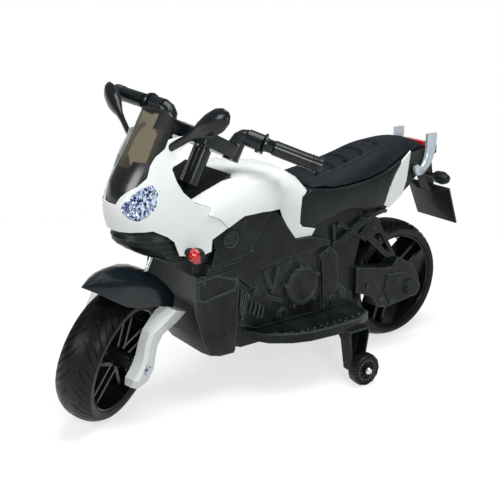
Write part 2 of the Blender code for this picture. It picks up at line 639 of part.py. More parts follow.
def make_fork_covers(steering):
    """White blades outside the fork legs, from the mudguard down round the axle end."""
    # height, front edge and rear edge as distances forward of the axis, inner and outer face
    stations = [
        (-0.043, 0.034, 0.000, 0.0615, 0.0830),
        (-0.026, 0.043, -0.020, 0.0600, COVER_OUT),
        (0.000, 0.034, -0.028, 0.0600, COVER_OUT),
        (0.024, 0.034, -0.018, 0.0590, COVER_OUT - 0.002),
        (0.050, 0.040, -0.014, 0.0570, COVER_OUT - 0.006),
        (0.076, 0.042, -0.018, 0.0560, COVER_OUT - 0.006),
        (0.106, 0.026, -0.046, 0.0560, COVER_OUT + 0.002),
        (0.134, 0.002, -0.064, 0.0570, COVER_OUT + 0.006),
    ]

    def build():
        rings = []
        for height, front, back, inside, outside in stations:
            chamfer = 0.007
            ring = [(inside, -front + 0.002), (outside - chamfer, -front), (outside, -front + chamfer),
                    (outside + COVER_SWELL, -(front + back) / 2), (outside, -back - chamfer),
                    (outside - chamfer, -back), (inside, -back)]
            rings.append([(x, y, height) for x, y in ring])
        body = loft(rings)
        pocket = LEG_R + FIT
        leg = union(
            rod((LEG_X, 0, YOKE_LOW + 0.003), (LEG_X, -AXLE_FORWARD * 0.55, AXLE_R * 1.5 - FIT), pocket, 10),
            box((LEG_X - LEG_R * 0.7 - FIT - 0.02, -AXLE_FORWARD - AXLE_R * 2.2 - FIT, -AXLE_R * 2.2 - FIT),
                (LEG_X + LEG_R * 0.7 + FIT, -AXLE_FORWARD + AXLE_R * 2.2 + FIT, AXLE_R * 3 + FIT)))
        axle = rod((0, -AXLE_FORWARD, 0), (0.2, -AXLE_FORWARD, 0), AXLE_R + FIT, 12)
        return cut(body, leg, axle)

    both_sides("fork_cover", build, WHITE, steering)


def make_fender(steering):
    """Beaked mudguard: a shell whose ridge runs from the beak back over the wheel."""
    # forward, ridge height, half width, edge height
    stations = [
        (0.250, 0.134, 0.002, 0.131),
        (0.215, 0.151, 0.017, 0.128),
        (0.175, 0.166, 0.034, 0.122),
        (0.130, 0.180, 0.045, 0.1165),
        (0.085, 0.188, 0.054, 0.118),
        (0.045, 0.190, 0.067, 0.129),
        (0.010, 0.187, 0.0755, 0.1355),
        (-0.025, 0.176, 0.0760, 0.1355),
    ]
    half = 4
    rows = []
    for forward, ridge, width, edge in stations:
        row = []
        for i in range(-half, half + 1):
            angle = math.pi / 2 * i / half
            x = width * math.sin(angle)
            fall = 1 - max(0.0, math.cos(angle)) ** 0.6
            row.append((x, -forward, ridge + (edge - ridge) * fall))
        rows.append(row)
    body = shell(rows, 0.0022)
    hole = rod((0, 0, BOSS_HIGH - 0.01), (0, 0, 0.2), STEM_R + RUN, 12)
    return finish("fender", cut(body, hole), GLOSS, steering, 50)


def make_top_clamp(steering):
    """Clamp with the dashboard, both bar elbows, their collars and the two dummy fork tubes."""
    back, front = -0.018, 0.083
    right = [(TUBE_X + 0.008, -front), (ELBOW_X + 0.013, -ELBOW_FORWARD - 0.012), (ELBOW_X, -back), (0.045, -back)]
    deck = prism([(-x, y) for x, y in reversed(right)] + right, CLAMP_LOW, CLAMP_HIGH, "Z")
    bevelled(deck, 0.003)
    parts = []
    for side in (-1, 1):
        mirror = Vector((side, 1, 1))
        path = [(ELBOW_X, CLAMP_LOW - 0.004)]
        for k in range(4):
            angle = math.pi / 6 * k
            path.append((ELBOW_X + ELBOW_BEND * (1 - math.cos(angle)),
                         ELBOW_HIGH - ELBOW_BEND * (1 - math.sin(angle))))
        end = COLLAR_END * mirror
        bend = tube([(side * x, -ELBOW_FORWARD, z) for x, z in path], [ELBOW_R] * len(path), 12)
        direction = (GRIP_END * mirror - end).normalized()
        collar_start = Vector((side * path[-1][0], -ELBOW_FORWARD, ELBOW_HIGH))
        collar_run = (end - collar_start).normalized()
        collar = lathe([(-0.001, 0), (-0.001, COLLAR_R), ((end - collar_start).length - 0.005, COLLAR_R),
                        ((end - collar_start).length - 0.003, 0)], 12, collar_start, collar_run)
        profile = [(-0.006, 0), (-0.006, FLANGE_R * 0.9), (-0.0045, FLANGE_R), (-0.0005, FLANGE_R),
                   (0, GRIP_R * 0.57), (GRIP_CORE, GRIP_R * 0.57), (GRIP_CORE, 0)]
        parts += [bend, collar, lathe(profile, 12, end, direction)]
        tube_top = Vector((side * TUBE_X, -TUBE_FORWARD, CLAMP_LOW + 0.004))
        parts.append(lathe([(0, 0), (0, TUBE_R * 0.7), (0.008, TUBE_R * 0.7), (0.010, TUBE_R),
                            (TUBE_LENGTH, TUBE_R), (TUBE_LENGTH, 0)], 12, tube_top, (0, 0, -1)))
    body = union(deck, *parts)
    stem = rod((0, 0, CLAMP_LOW - 0.02), (0, 0, CLAMP_HIGH - 0.006 + FIT), STEM_R + FIT, 12)
    button = rod((*BUTTON_AT, CLAMP_HIGH - BUTTON_WELL), (*BUTTON_AT, CLAMP_HIGH + 0.01), BUTTON_R + FIT, 16)
    return finish("top_clamp", cut(body, stem, button, horn_solid(FIT)), GLOSS, steering)


GRIP_CORE = 0.085          # bar end inside the grip
BUTTON_R = 0.007
BUTTON_AT = (-0.018, -0.050)
BUTTON_WELL = 0.012
BUTTON_TRAVEL = 0.002
HORN_R = 0.0045
HORN_TRAVEL = 0.0015


def grip_line():
    start = COLLAR_END.copy()
    return start, (GRIP_END - COLLAR_END).normalized()


def horn_solid(grow):
    """The small button under the left collar, or its well when grown."""
    start, direction = grip_line()
    down = (Vector((0, 0, -1)) - direction * direction.z * -1).normalized()
    centre = start - direction * 0.012
    top = centre + down * (COLLAR_R - 0.007 - grow * 10)
    end = centre + down * (COLLAR_R + 0.0035 + (0.01 if grow else 0))
    return rod(top, end, HORN_R + grow, 12)


def make_grips(steering):
    """Ribbed sleeves on the bar ends with an end cap."""
    def build():
        start, direction = grip_line()
        length = (GRIP_END - COLLAR_END).length
        bore = GRIP_R * 0.6 + FIT
        begin = 0.0012
        profile = [(begin, bore), (begin, GRIP_R + 0.0012), (0.004, GRIP_R + 0.0012), (0.005, GRIP_R)]
        profile += [(length - 0.033, GRIP_R), (length - 0.0325, GRIP_R + 0.0025), (length - 0.029, GRIP_R + 0.0025),
                    (length - 0.0285, GRIP_R), (length - 0.024, GRIP_R + 0.0012),
                    (length - 0.004, GRIP_R + 0.0005), (length, GRIP_R - 0.003), (length, 0),
                    (GRIP_CORE + 0.001, 0), (GRIP_CORE + 0.001, bore)]
        return lathe_open(profile, 10, start, direction)

    both_sides("grip", build, BLACK, steering)


def lathe_open(profile, segments, origin, direction):
    """A lathe whose closed profile touches the axis along one stretch."""
    solid = [p for p in profile]
    on_axis = [i for i, p in enumerate(solid) if p[1] == 0]
    first = on_axis[-1]
    ordered = solid[first:] + solid[:first]
    return lathe(ordered, segments, origin, direction)


def make_buttons(steering):
    """Round dashboard button and the small horn button, each free to be pressed."""
    start = BUTTON_WELL - BUTTON_TRAVEL - FIT
    cap = [(0, 0), (0, BUTTON_R), (start + 0.0015, BUTTON_R), (start + 0.0025, BUTTON_R - 0.0015),
           (start + 0.0025, 0)]
    origin = (*BUTTON_AT, CLAMP_HIGH - BUTTON_WELL + BUTTON_TRAVEL + FIT)
    finish("power_button", lathe(cap, 16, origin, (0, 0, 1)), STEEL, steering)
    finish("horn_button", horn_solid(0.0), RED, steering)


# Nose fairing: level slices that run round the front as a cubic curve, then trimmed to its side outline
FAIRING_ROWS = [
    # height, front point, half width, bluntness of the front
    (0.340, -0.384, FAIRING_X, 0.62),
    (0.400, -0.398, FAIRING_X, 0.62),
    (0.430, -0.405, FAIRING_X, 0.62),
    (0.460, -0.404, FAIRING_X - 0.002, 0.63),
    (0.500, -0.387, FAIRING_X - 0.008, 0.68),
    (0.540, -0.366, FAIRING_X - 0.016, 0.74),
    (0.601, -0.333, FAIRING_X - 0.027, 0.81),
]


def fairing_slice(height, front, half, blunt, rear, count, shrink=0.0):
    """Half of a level slice, from the middle of the nose back along the left flank."""
    reach = 0.088 - 0.35 * max(0.0, height - 0.46)
    p0 = Vector((0, front + shrink))
    p1 = Vector((half * blunt, front + 0.003 + shrink))
    p2 = Vector((half * 0.94 - shrink, front + reach + shrink))
    p3 = Vector((half - shrink, rear))
    points = []
    for i in range(count + 1):
        t = i / count
        s = 1 - t
        p = p0 * s ** 3 + p1 * 3 * s * s * t + p2 * 3 * s * t * t + p3 * t ** 3
        points.append((p.x, p.y, height))
    return points


def fairing_grid(rear, count, shrink=0.0, rows=FAIRING_ROWS):
    grid = []
    for height, front, half, blunt in rows:
        left = fairing_slice(height, front, half, blunt, rear, count, shrink)
        grid.append([(-x, y, z) for x, y, z in reversed(left[1:])] + left)
    return grid


NOSE_LOW = [
    (-0.460, 0.405), (-0.399, 0.405), (-0.372, 0.4095), (-0.350, 0.4125), (-0.326, 0.400), (-0.312, 0.388),
    (-0.302, 0.358), (-0.262, 0.352), (-0.238, 0.360), (-0.236, 0.385),
]
NOSE_BACK = [
    (-0.292, 0.487), (-0.303, 0.510), (-0.308, 0.533), (-0.296, 0.555), (-0.280, 0.575), (-0.257, 0.590),
    (-0.263, 0.598), (-0.330, 0.584), (-0.460, 0.584),
]
WINDSHIELD_EDGE = [
    # half width, height of the fairing's opening for the windshield, from its foot up
    (0.024, 0.461), (0.030, 0.476), (0.0406, 0.4876), (0.0569, 0.4992), (0.0680, 0.5165), (0.0660, 0.540),
    (0.0690, 0.556), (0.0770, 0.5717),
]
LAMP_FRONT = [
    # outline of the left headlight in front view, as (x, z)
    (0.0774, 0.5039), (0.0857, 0.4905), (0.0870, 0.4710), (0.0866, 0.4587), (0.0787, 0.4410), (0.0657, 0.4328),
    (0.0535, 0.4368), (0.0415, 0.4456), (0.0366, 0.4552), (0.0379, 0.4629), (0.0524, 0.4817), (0.0654, 0.4974),
]


def lamp_cutter(grow, side=1):
    """Sweeps the lamp outline straight back through the cheek."""
    return mirrored(prism(inset(LAMP_FRONT, -grow), -0.45, -0.30, "Y"), side)


def windshield_opening(grow):
    """Front view outline of the opening between the fairing's cheeks."""
    right = [(x + grow, z - grow) for x, z in WINDSHIELD_EDGE]
    left = [(-x, z) for x, z in reversed(right)]
    top = WINDSHIELD_EDGE[-1][1] + 0.1
    return right + [(right[-1][0], top), (left[0][0], top)] + left


def shifted(rows, distance):
    """A grid of points moved inwards, square to its surface."""
    bm = bmesh.new()
    grid = [[bm.verts.new(point) for point in row] for row in rows]
    for low, high in zip(grid, grid[1:]):
        for i in range(len(low) - 1):
            bm.faces.new((low[i], low[i + 1], high[i + 1], high[i]))
    bm.normal_update()
    moved = [[tuple(v.co - v.normal * distance) for v in row] for row in grid]
    bm.free()
    return moved


def make_nose():
    body = shell(fairing_grid(NOSE_REAR, 8), WALL)
    outline = NOSE_LOW + list(reversed(SEAM_LINE)) + NOSE_BACK
    body = shared(body, prism(outline, -0.2, 0.2, "X"))
    opening = prism(windshield_opening(0.0), -0.6, -0.2, "Y")
    lamps = [lamp_cutter(FIT), lamp_cutter(FIT, -1)]
    necks = [rod((side * 0.09, *TURN_AT), (side * 0.14, *TURN_AT), TURN_NECK + FIT, 12) for side in (-1, 1)]
    body = cut(body, opening, *lamps, *necks)
    return finish("nose_fairing", body, WHITE)


def make_headlights():
    """Clear lenses flush with the cheeks and a bright reflector that links both behind the nose."""
    def build():
        return shared(shell(fairing_grid(NOSE_REAR, 8), WALL), lamp_cutter(0.0))

    both_sides("headlight_lens", build, CLEAR)
    behind = shifted(fairing_grid(NOSE_REAR, 8), WALL + FIT * 2)
    bridge = box((-0.06, -0.45, 0.440), (0.06, -0.30, 0.454))
    area = union(bridge, lamp_cutter(0.003), lamp_cutter(0.003, -1))
    area = cut(area, prism(windshield_opening(0.003), -0.6, -0.2, "Y"))
    finish("reflector", shared(shell(behind, 0.0015), area), PLATED)


def make_windshield():
    """Curved smoked screen that fills the opening of the nose and stands above it."""
    rows = []
    for height, middle in WINDSHIELD_LINE:
        row = []
        for i in range(-3, 4):
            x = 0.078 * i / 3
            row.append((x, middle + WINDSHIELD_BEND * x * x, height))
        rows.append(row)
    right = [(x - FIT * 1.5, z + FIT) for x, z in WINDSHIELD_EDGE[:-1]] + WINDSHIELD_TOP
    outline = right + [(-x, z) for x, z in reversed(right)]
    body = shared(shell(rows, 0.0022), prism(outline, -0.6, -0.1, "Y"))
    finish("windshield", body, SMOKE)


def make_nose_duct(steering):
    """Stepped scoop under the nose with the tube that guides the steering stem."""
    def rings(shrink, bottom_shift, top_extra):
        result = []
        for k, (height, front, half) in enumerate(DUCT_ROWS):
            ends = k in (0, len(DUCT_ROWS) - 1)
            steps = [(height, shrink)] if ends else [
                (height + 0.0012, shrink), (height - 0.0012, shrink + DUCT_STEP)]
            if shrink and not ends:
                steps = [(height, shrink + DUCT_STEP)] if k % 2 == 0 else []
            for z, less in steps:
                points = []
                for i in range(5):
                    angle = math.pi / 2 * i / 4
                    points.append(((half - less) * math.sin(angle),
                                   DUCT_CORNER - (DUCT_CORNER - front - less) * math.cos(angle)))
                points.append((half - less, DUCT_REAR - (less if shrink else 0.0)))
                ring = [(-x, y) for x, y in reversed(points[1:])] + points
                lift = bottom_shift if k == len(DUCT_ROWS) - 1 else (top_extra if k == 0 else 0.0)
                result.append([(x, y, z + lift) for x, y in ring])
        return result

    body = cut(loft(rings(0.0, 0.0, 0.0)), loft(rings(WALL, WALL, 0.02)))
    low, high = axis_point(steering, 0.222), axis_point(steering, 0.300)
    boss = rod(low, high, STEM_R + 0.007, 12)
    limit = box((-0.05, -0.36, DUCT_ROWS[-1][0]), (0.05, DUCT_REAR, 0.41))
    rib = box((-0.002, -0.29, DUCT_ROWS[-1][0] + 0.001), (0.002, DUCT_REAR - 0.001, 0.37))
    body = union(body, shared(boss, limit), rib)
    bore = rod(axis_point(steering, 0.1), axis_point(steering, 0.4), STEM_R + RUN, 12)
    finish("nose_duct", cut(body, bore), BLACK)


def make_liner(steering):
    """Black cockpit tray inside the nose, with a sloped pad up to the tank and a guide for the stem."""
    wall = []
    for height in (LINER_FLOOR, 0.470, 0.503, 0.534):
        front, half, blunt = fairing_at(height)
        left = fairing_slice(height, front, half, blunt, NOSE_REAR, 4, LINER_SHRINK)
        wall.append([(-x, y, z) for x, y, z in reversed(left[1:])] + left)
    ring = wall[0]
    sides = shared(shell(wall, 0.0022), prism(LINER_SIDE, -0.2, 0.2, "X"))
    floor = prism([(x, y) for x, y, z in ring], LINER_FLOOR, LINER_FLOOR + 0.003, "Z")
    floor = shared(floor, box((-0.2, -0.5, 0.4), (0.2, -0.264, 0.5)))
    rise = 0.0035
    pad = prism([(-0.30, LINER_FLOOR), (-0.285, LINER_FLOOR), (-0.262, 0.4555), (-0.165, 0.5000),
                 (-0.165, 0.5000 + rise), (-0.262, 0.4555 + rise), (-0.288, LINER_FLOOR + rise),
                 (-0.30, LINER_FLOOR + rise)], -0.0865, 0.0865, "X")
    foot = box((-0.050, -0.215, CHASSIS_TOP + FIT), (0.050, -0.212, 0.480))
    guide = rod(axis_point(steering, 0.352), axis_point(steering, 0.388), STEM_R + 0.006, 12)
    body = union(pad, floor, sides, guide, foot)
    bore = rod(axis_point(steering, 0.3), axis_point(steering, 0.45), STEM_R + RUN, 12)
    finish("cockpit_liner", cut(body, bore), BLACK)


def fairing_at(height):
    """Front point, half width and bluntness of the fairing at any height."""
    for low, high in zip(FAIRING_ROWS, FAIRING_ROWS[1:]):
        if low[0] <= height <= high[0]:
            t = (height - low[0]) / (high[0] - low[0])
            return [a + (b - a) * t for a, b in zip(low[1:], high[1:])]
    raise ValueError(height)


def make_mirrors():
    """Mirror housings on flat feet, teardrop in shape, one each side of the screen."""
    def build():
        foot = Vector(MIRROR_FOOT)
        head = Vector(MIRROR_HEAD)
        along = (head - foot).normalized()
        across = along.cross(Vector((0, 1, 0))).normalized()
        deep = along.cross(across)
        reach = (head - foot).length
        rings = []
        for t, wide, thick in MIRROR_SECTIONS:
            ring = []
            for i in range(10):
                angle = 2 * math.pi * i / 10
                ring.append(foot + along * reach * t + across * wide * math.cos(angle)
                            + deep * thick * math.sin(angle))
            rings.append(ring)
        nose = loft(shifted(fairing_grid(NOSE_REAR, 8), -FIT))
        return cut(loft(rings), nose)

    both_sides("mirror", build, BLACK)


TANK_LOW = 0.325           # lower end of the tank's sides before they are trimmed


def u_section(top, half, low_half, low, y):
    """Points of a saddle shape from the right lower edge over the top to the left lower edge."""
    drop = top - TANK_LOW
    right = [(0.0, top), (half * 0.40, top - drop * 0.006), (half * 0.72, top - drop * 0.033),
             (half * 0.90, top - drop * 0.117), (half, top - drop * 0.28), (half * 0.985, top - drop * 0.55),
             (low_half, top - drop * 0.74), (low_half, low)]
    return [(-x, y, z) for x, z in reversed(right[1:])] + [(x, y, z) for x, z in right]


def beside(line, distance):
    """A line of points moved to its left by a distance."""
    closed = line + [(line[-1][0] * 2 - line[-2][0], line[-1][1] * 2 - line[-2][1])]
    closed = [(line[0][0] * 2 - line[1][0], line[0][1] * 2 - line[1][1])] + closed
    result = []
    for before, here, after in zip(closed, closed[1:], closed[2:]):
        first = Vector((here[0] - before[0], here[1] - before[1])).normalized()
        second = Vector((after[0] - here[0], after[1] - here[1])).normalized()
        n1, n2 = Vector((-first.y, first.x)), Vector((-second.y, second.x))
        middle = (n1 + n2) / (1 + n1.dot(n2))
        result.append((here[0] + middle.x * distance, here[1] + middle.y * distance))
    return result


def make_tank():
    """White tank cover: wide at the knees' front, pinched behind, open at the cockpit."""
    outer = [u_section(top, half, low_half, TANK_LOW, y) for y, top, half, low_half in TANK_STATIONS]
    inner = [u_section(top - WALL, half - WALL, low_half - WALL, TANK_LOW - 0.01, y)
             for y, top, half, low_half in TANK_STATIONS]
    inner[0] = [(x, y - 0.01, z) for x, y, z in inner[0]]
    inner[-1] = [(x, y + 0.01, z) for x, y, z in inner[-1]]
    body = cut(loft(outer), loft(inner))
    cockpit = box((-0.0872, -0.30, 0.42), (0.0872, TANK_FRONT_TOP, 0.6))
    area = cut(prism(beside(SEAM_LINE, SEAM) + TANK_SIDE, -0.2, 0.2, "X"), cockpit)
    finish("tank_cover", shared(body, area), WHITE, None, 40)


def tray(outline, inner, outer, wall):
    """A moulding with a skin and side walls, open towards the middle of the bike."""
    solid = prism(outline, inner, outer, "X")
    return cut(solid, prism(inset(outline, wall), inner - 0.01, outer - wall, "X"))


def bar(start, end, width, low, high):
    """A straight bar in side view between two (y, z) points."""
    start, end = Vector(start), Vector(end)
    along = (end - start).normalized()
    across = Vector((-along.y, along.x)) * width / 2
    outline = [start + across, start - across, end - across, end + across]
    return prism([(p.x, p.y) for p in outline], low, high, "X")


def stud(y, z, radius, low, high, segments=8):
    """A round boss standing on a side face, with a chamfered rim."""
    chamfer = min(radius * 0.3, (high - low) * 0.5)
    profile = [(low, 0), (low, radius), (high - chamfer, radius), (high, radius - chamfer), (high, 0)]
    if radius < 0.009:
        profile = [(low, 0), (low, radius), (high, radius * 0.85), (high, 0)]
    return lathe(profile, segments, (0, y, z))


def make_chassis():
    def build():
        half = tray(CHASSIS_SIDE, FIT, CHASSIS_X, 0.0035)
        return half

    both_sides("chassis", build, BLACK)


def make_battery():
    """Sealed battery on the chassis floor, with its two terminals."""
    length, width, height = BATTERY_SIZE
    floor = CHASSIS_LOW + 0.0035 + FIT
    case = bevelled(box((-width / 2, BATTERY_Y, floor), (width / 2, BATTERY_Y + length, floor + height)), 0.002)
    tabs = [box((x - 0.003, BATTERY_Y + 0.012, floor + height - 0.001),
                (x + 0.003, BATTERY_Y + 0.013, floor + height + 0.007)) for x in (-0.02, 0.02)]
    finish("battery", union(case, *tabs), BATTERY_CASE)


def make_belly():
    """Chin between the footboards: a hollow wedge whose flanks carry a sunk panel."""
    def slices(shrink):
        rings = []
        for k, (height, middle, corner_y, corner_x) in enumerate(BELLY_ROWS):
            z = height
            if shrink:
                z += shrink if k == len(BELLY_ROWS) - 1 else (0.01 if k == 0 else 0.0)
            right = [(0, middle + shrink), (BELLY_MID, middle + shrink), (corner_x - shrink, corner_y + shrink),
                     (corner_x - shrink + 0.002, BELLY_REAR + (0.01 if shrink else 0.0))]
            ring = [(-x, y, z) for x, y in reversed(right[1:])] + [(x, y, z) for x, y in right]
            rings.append(ring)
        return rings

    body = cut(loft(slices(0.0)), loft(slices(WALL)))
    lid = [(-x, y) for x, y in reversed(BELLY_LID[1:])] + BELLY_LID
    body = union(body, prism(lid, BELLY_TOP - WALL, BELLY_TOP, "Z"))
    parts = []
    for side in (-1, 1):
        frame = prism(BELLY_PANEL, BELLY_FLANK - 0.0015, BELLY_FLANK + 0.0045, "X")
        frame = cut(frame, prism(inset(BELLY_PANEL, 0.0035), BELLY_FLANK + 0.001, BELLY_FLANK + 0.01, "X"))
        parts.append(mirrored(frame, side))
    finish("belly_pan", union(body, *parts), GREY)


def make_spar():
    def build():
        skin = tray(SPAR_SIDE, CHASSIS_X + FIT, CHASSIS_X + 0.0155, WALL)
        lip = bar((-0.232, 0.3135), (-0.150, 0.3185), 0.003, CHASSIS_X + 0.012, CHASSIS_X + 0.0175)
        return union(skin, lip)

    both_sides("frame_spar", build, GLOSS)


def make_side_panel():
    """Panel under the tank with the round loudspeaker grille, and the housing of the turn lamp."""
    def build():
        outer = PANEL_OUT
        skin = tray(PANEL_SIDE, CHASSIS_X + FIT, outer, WALL)
        ring = lathe([(outer - 0.001, SPEAKER_R - 0.003), (outer - 0.001, SPEAKER_R),
                      (outer + 0.0025, SPEAKER_R - 0.0008), (outer + 0.0025, SPEAKER_R - 0.003)], 14, (0, *SPEAKER_AT))
        louvres = [bar((SPEAKER_AT[0] - reach, SPEAKER_AT[1] + lift), (SPEAKER_AT[0] + reach, SPEAKER_AT[1] + lift),
                       0.002, outer - 0.001, outer + 0.0012)
                   for lift, reach in ((-0.007, 0.0132), (0.0, 0.0150), (0.007, 0.0132))]
        slot = bar((-0.176, 0.3975), (-0.143, 0.4040), 0.0055, outer - 0.0012, outer + 0.01)
        lug = lathe([(CHASSIS_X + 0.001, 0), (CHASSIS_X + 0.001, TURN_NECK), (TURN_X - 0.014, TURN_NECK),
                     (TURN_X - 0.010, 0.0160), (TURN_X, 0.0165), (TURN_X + 0.008, 0.0120), (TURN_X + 0.0115, 0)],
                    12, (0, *TURN_AT))
        lug = cut(lug, prism(turn_cut(0.0), TURN_X - 0.0125, 0.3, "X"))
        arm = prism([(-0.284, 0.352), (-0.275, 0.340), (-0.222, 0.326), (-0.215, 0.352), (-0.262, 0.368),
                     (-0.284, 0.372)], CHASSIS_X + FIT, CHASSIS_X + 0.006, "X")
        return union(cut(skin, slot), ring, arm, lug, *louvres)

    both_sides("side_panel", build, BLACK)


def turn_cut(shift):
    """The front-lower part of the turn lamp that the lens replaces, in side view."""
    y, z = TURN_AT
    return [(y - 0.030, z + 0.030), (y - 0.004 - shift, z + 0.030), (y - 0.001 - shift, z - 0.008),
            (y + 0.006 - shift, z - 0.030), (y - 0.030, z - 0.030)]


def make_turn_lenses():
    def build():
        lens = lathe([(TURN_X - 0.0120, 0), (TURN_X - 0.0120, 0.0155), (TURN_X, 0.0165),
                      (TURN_X + 0.008, 0.0120), (TURN_X + 0.0115, 0)], 12, (0, *TURN_AT))
        return shared(lens, prism(turn_cut(FIT), TURN_X - 0.0121, 0.3, "X"))

    both_sides("turn_lens", build, RED)


def make_engine():
    """Moulded engine: cylinder fins, a round clutch cover, the rear plate and bolt heads."""
    base_low, base = CHASSIS_X + FIT, CHASSIS_X + 0.007

    def build():
        parts = []
        for count, first, last in FIN_BANKS:
            for k in range(count):
                t = k / (count - 1)
                top = Vector(first[0]).lerp(Vector(first[1]), t)
                low = Vector(last[0]).lerp(Vector(last[1]), t)
                parts.append(bar(top, low, 0.0032, base - 0.001, base + 0.0075))
        cy, cz = CLUTCH_AT
        r = CLUTCH_R
        clutch = [(base - 0.001, 0), (base - 0.001, r), (base + 0.008, r), (base + 0.012, r * 0.91),
                  (base + 0.012, r * 0.80), (base + 0.0100, r * 0.74), (base + 0.0100, r * 0.26),
                  (base + 0.013, 0)]
        parts.append(lathe(clutch, 16, (0, cy, cz)))
        for k in range(5):
            angle = math.radians(25 + 72 * k)
            parts.append(stud(cy + r * 1.03 * math.cos(angle), cz + r * 1.03 * math.sin(angle), 0.0055,
                              base - 0.001, base + 0.0105, 6))
        for y, z, radius, height in ENGINE_STUDS:
            parts.append(stud(y, z, radius, base - 0.001, base + height, 10 if radius > 0.008 else 6))
        parts.append(prism(REAR_PLATE, base - 0.001, base + 0.0078, "X"))
        for start, end, width in ENGINE_PIPES:
            parts.append(bar(start, end, width, base - 0.001, base + 0.006))
        return union(prism(ENGINE_SIDE, base_low, base, "X"), *parts)

    both_sides("engine", build, GREY)


def make_footboards():
    """Foot trays: a top plate with a rim and a row of studs, a skirt and the place for the bracket."""
    def build(side):
        outline = FOOTBOARD_LINE
        low, top = FOOTBOARD_TOP - FOOTBOARD_SKIRT, FOOTBOARD_TOP
        body = prism(outline, low, top, "Z")
        hollow = prism(inset(outline, WALL), low - 0.01, top - WALL, "Z")
        body = cut(body, hollow)
        rim_line = spline([(*p, 0) for p in inset(outline, 0.0035)[1:-1]], 1)
        rim_parts = []
        for a, b in zip(rim_line, rim_line[1:]):
            run = (b - a).normalized()
            across = Vector((-run.y, run.x, 0)) * 0.0015
            quad = [a - run * 0.001 + across, a - run * 0.001 - across, b + run * 0.001 - across,
                    b + run * 0.001 + across]
            rim_parts.append(prism([(p.x, p.y) for p in quad], top - 0.001, top + 0.002, "Z"))
        inner_line = [Vector((x, y, 0)) for x, y in inset(outline, 0.014)[1:-1]]
        length = sum((b - a).length for a, b in zip(inner_line, inner_line[1:]))
        studs = []
        for k in range(STUDS):
            want = length * (k + 0.5) / STUDS
            for a, b in zip(inner_line, inner_line[1:]):
                step = (b - a).length
                if want <= step:
                    p = a.lerp(b, want / step)
                    studs.append(lathe([(0, 0), (0, 0.0035), (0.0018, 0.0022), (0.0018, 0)], 6,
                                       (p.x, p.y, top - 0.0008), (0, 0, 1)))
                    break
                want -= step
        if side < 0:
            well = box((PEDAL_LOW[0] - RUN, PEDAL_LOW[1] - RUN, top - 0.02),
                       (PEDAL_HIGH[0] + RUN, PEDAL_HIGH[1] + RUN, top + 0.02))
            y, z = PEDAL_HIGH[1] - PEDAL_HEEL, top - PEDAL_DROP
            lugs = [box((x, y - 0.0045, z - 0.0045), (x + 0.005, y + 0.0045, top - 0.001))
                    for x in (PEDAL_LOW[0] - 0.0056, PEDAL_HIGH[0] + 0.0006)]
            pin = rod((PEDAL_LOW[0] - 0.01, y, z), (PEDAL_HIGH[0] + 0.01, y, z), PEDAL_PIN + 0.0001, 12)
            return mirrored(cut(union(cut(union(body, *rim_parts), well), *lugs), pin), side)
        return union(body, *rim_parts, *studs)

    finish("footboard_left", build(1), BLACK)
    finish("footboard_right", build(-1), BLACK)


def make_pedal():
    """Accelerator pedal in the right footboard, hinged at its heel."""
    hinge = bpy.data.objects.new("pedal_axis", None)
    bpy.context.scene.collection.objects.link(hinge)
    x0, y0 = PEDAL_LOW
    x1, y1 = PEDAL_HIGH
    hinge.location = (-(x0 + x1) / 2, y1 - PEDAL_HEEL, FOOTBOARD_TOP - PEDAL_DROP)
    half = (x1 - x0) / 2
    length = y1 - y0 - PEDAL_HEEL
    side = [(0.0035, -0.0035), (0.0035, 0.0035), (-length * 0.5, 0.0105), (-length + 0.0015, 0.0125),
            (-length + 0.0005, 0.0095), (-length * 0.5, 0.0065), (0.0, -0.0035)]
    body = prism(side, -half, half, "X")
    ribs = [box((-half + 0.004, -length * t - 0.001, 0.004 + 0.009 * t), (half - 0.004, -length * t + 0.001,
            0.0075 + 0.0075 * t)) for t in (0.3, 0.45, 0.6, 0.75, 0.9)]
    pin = rod((-half - 0.004, 0, 0), (half + 0.004, 0, 0), PEDAL_PIN, 12)
    finish("accelerator_pedal", union(body, pin, *ribs), BLACK, hinge)


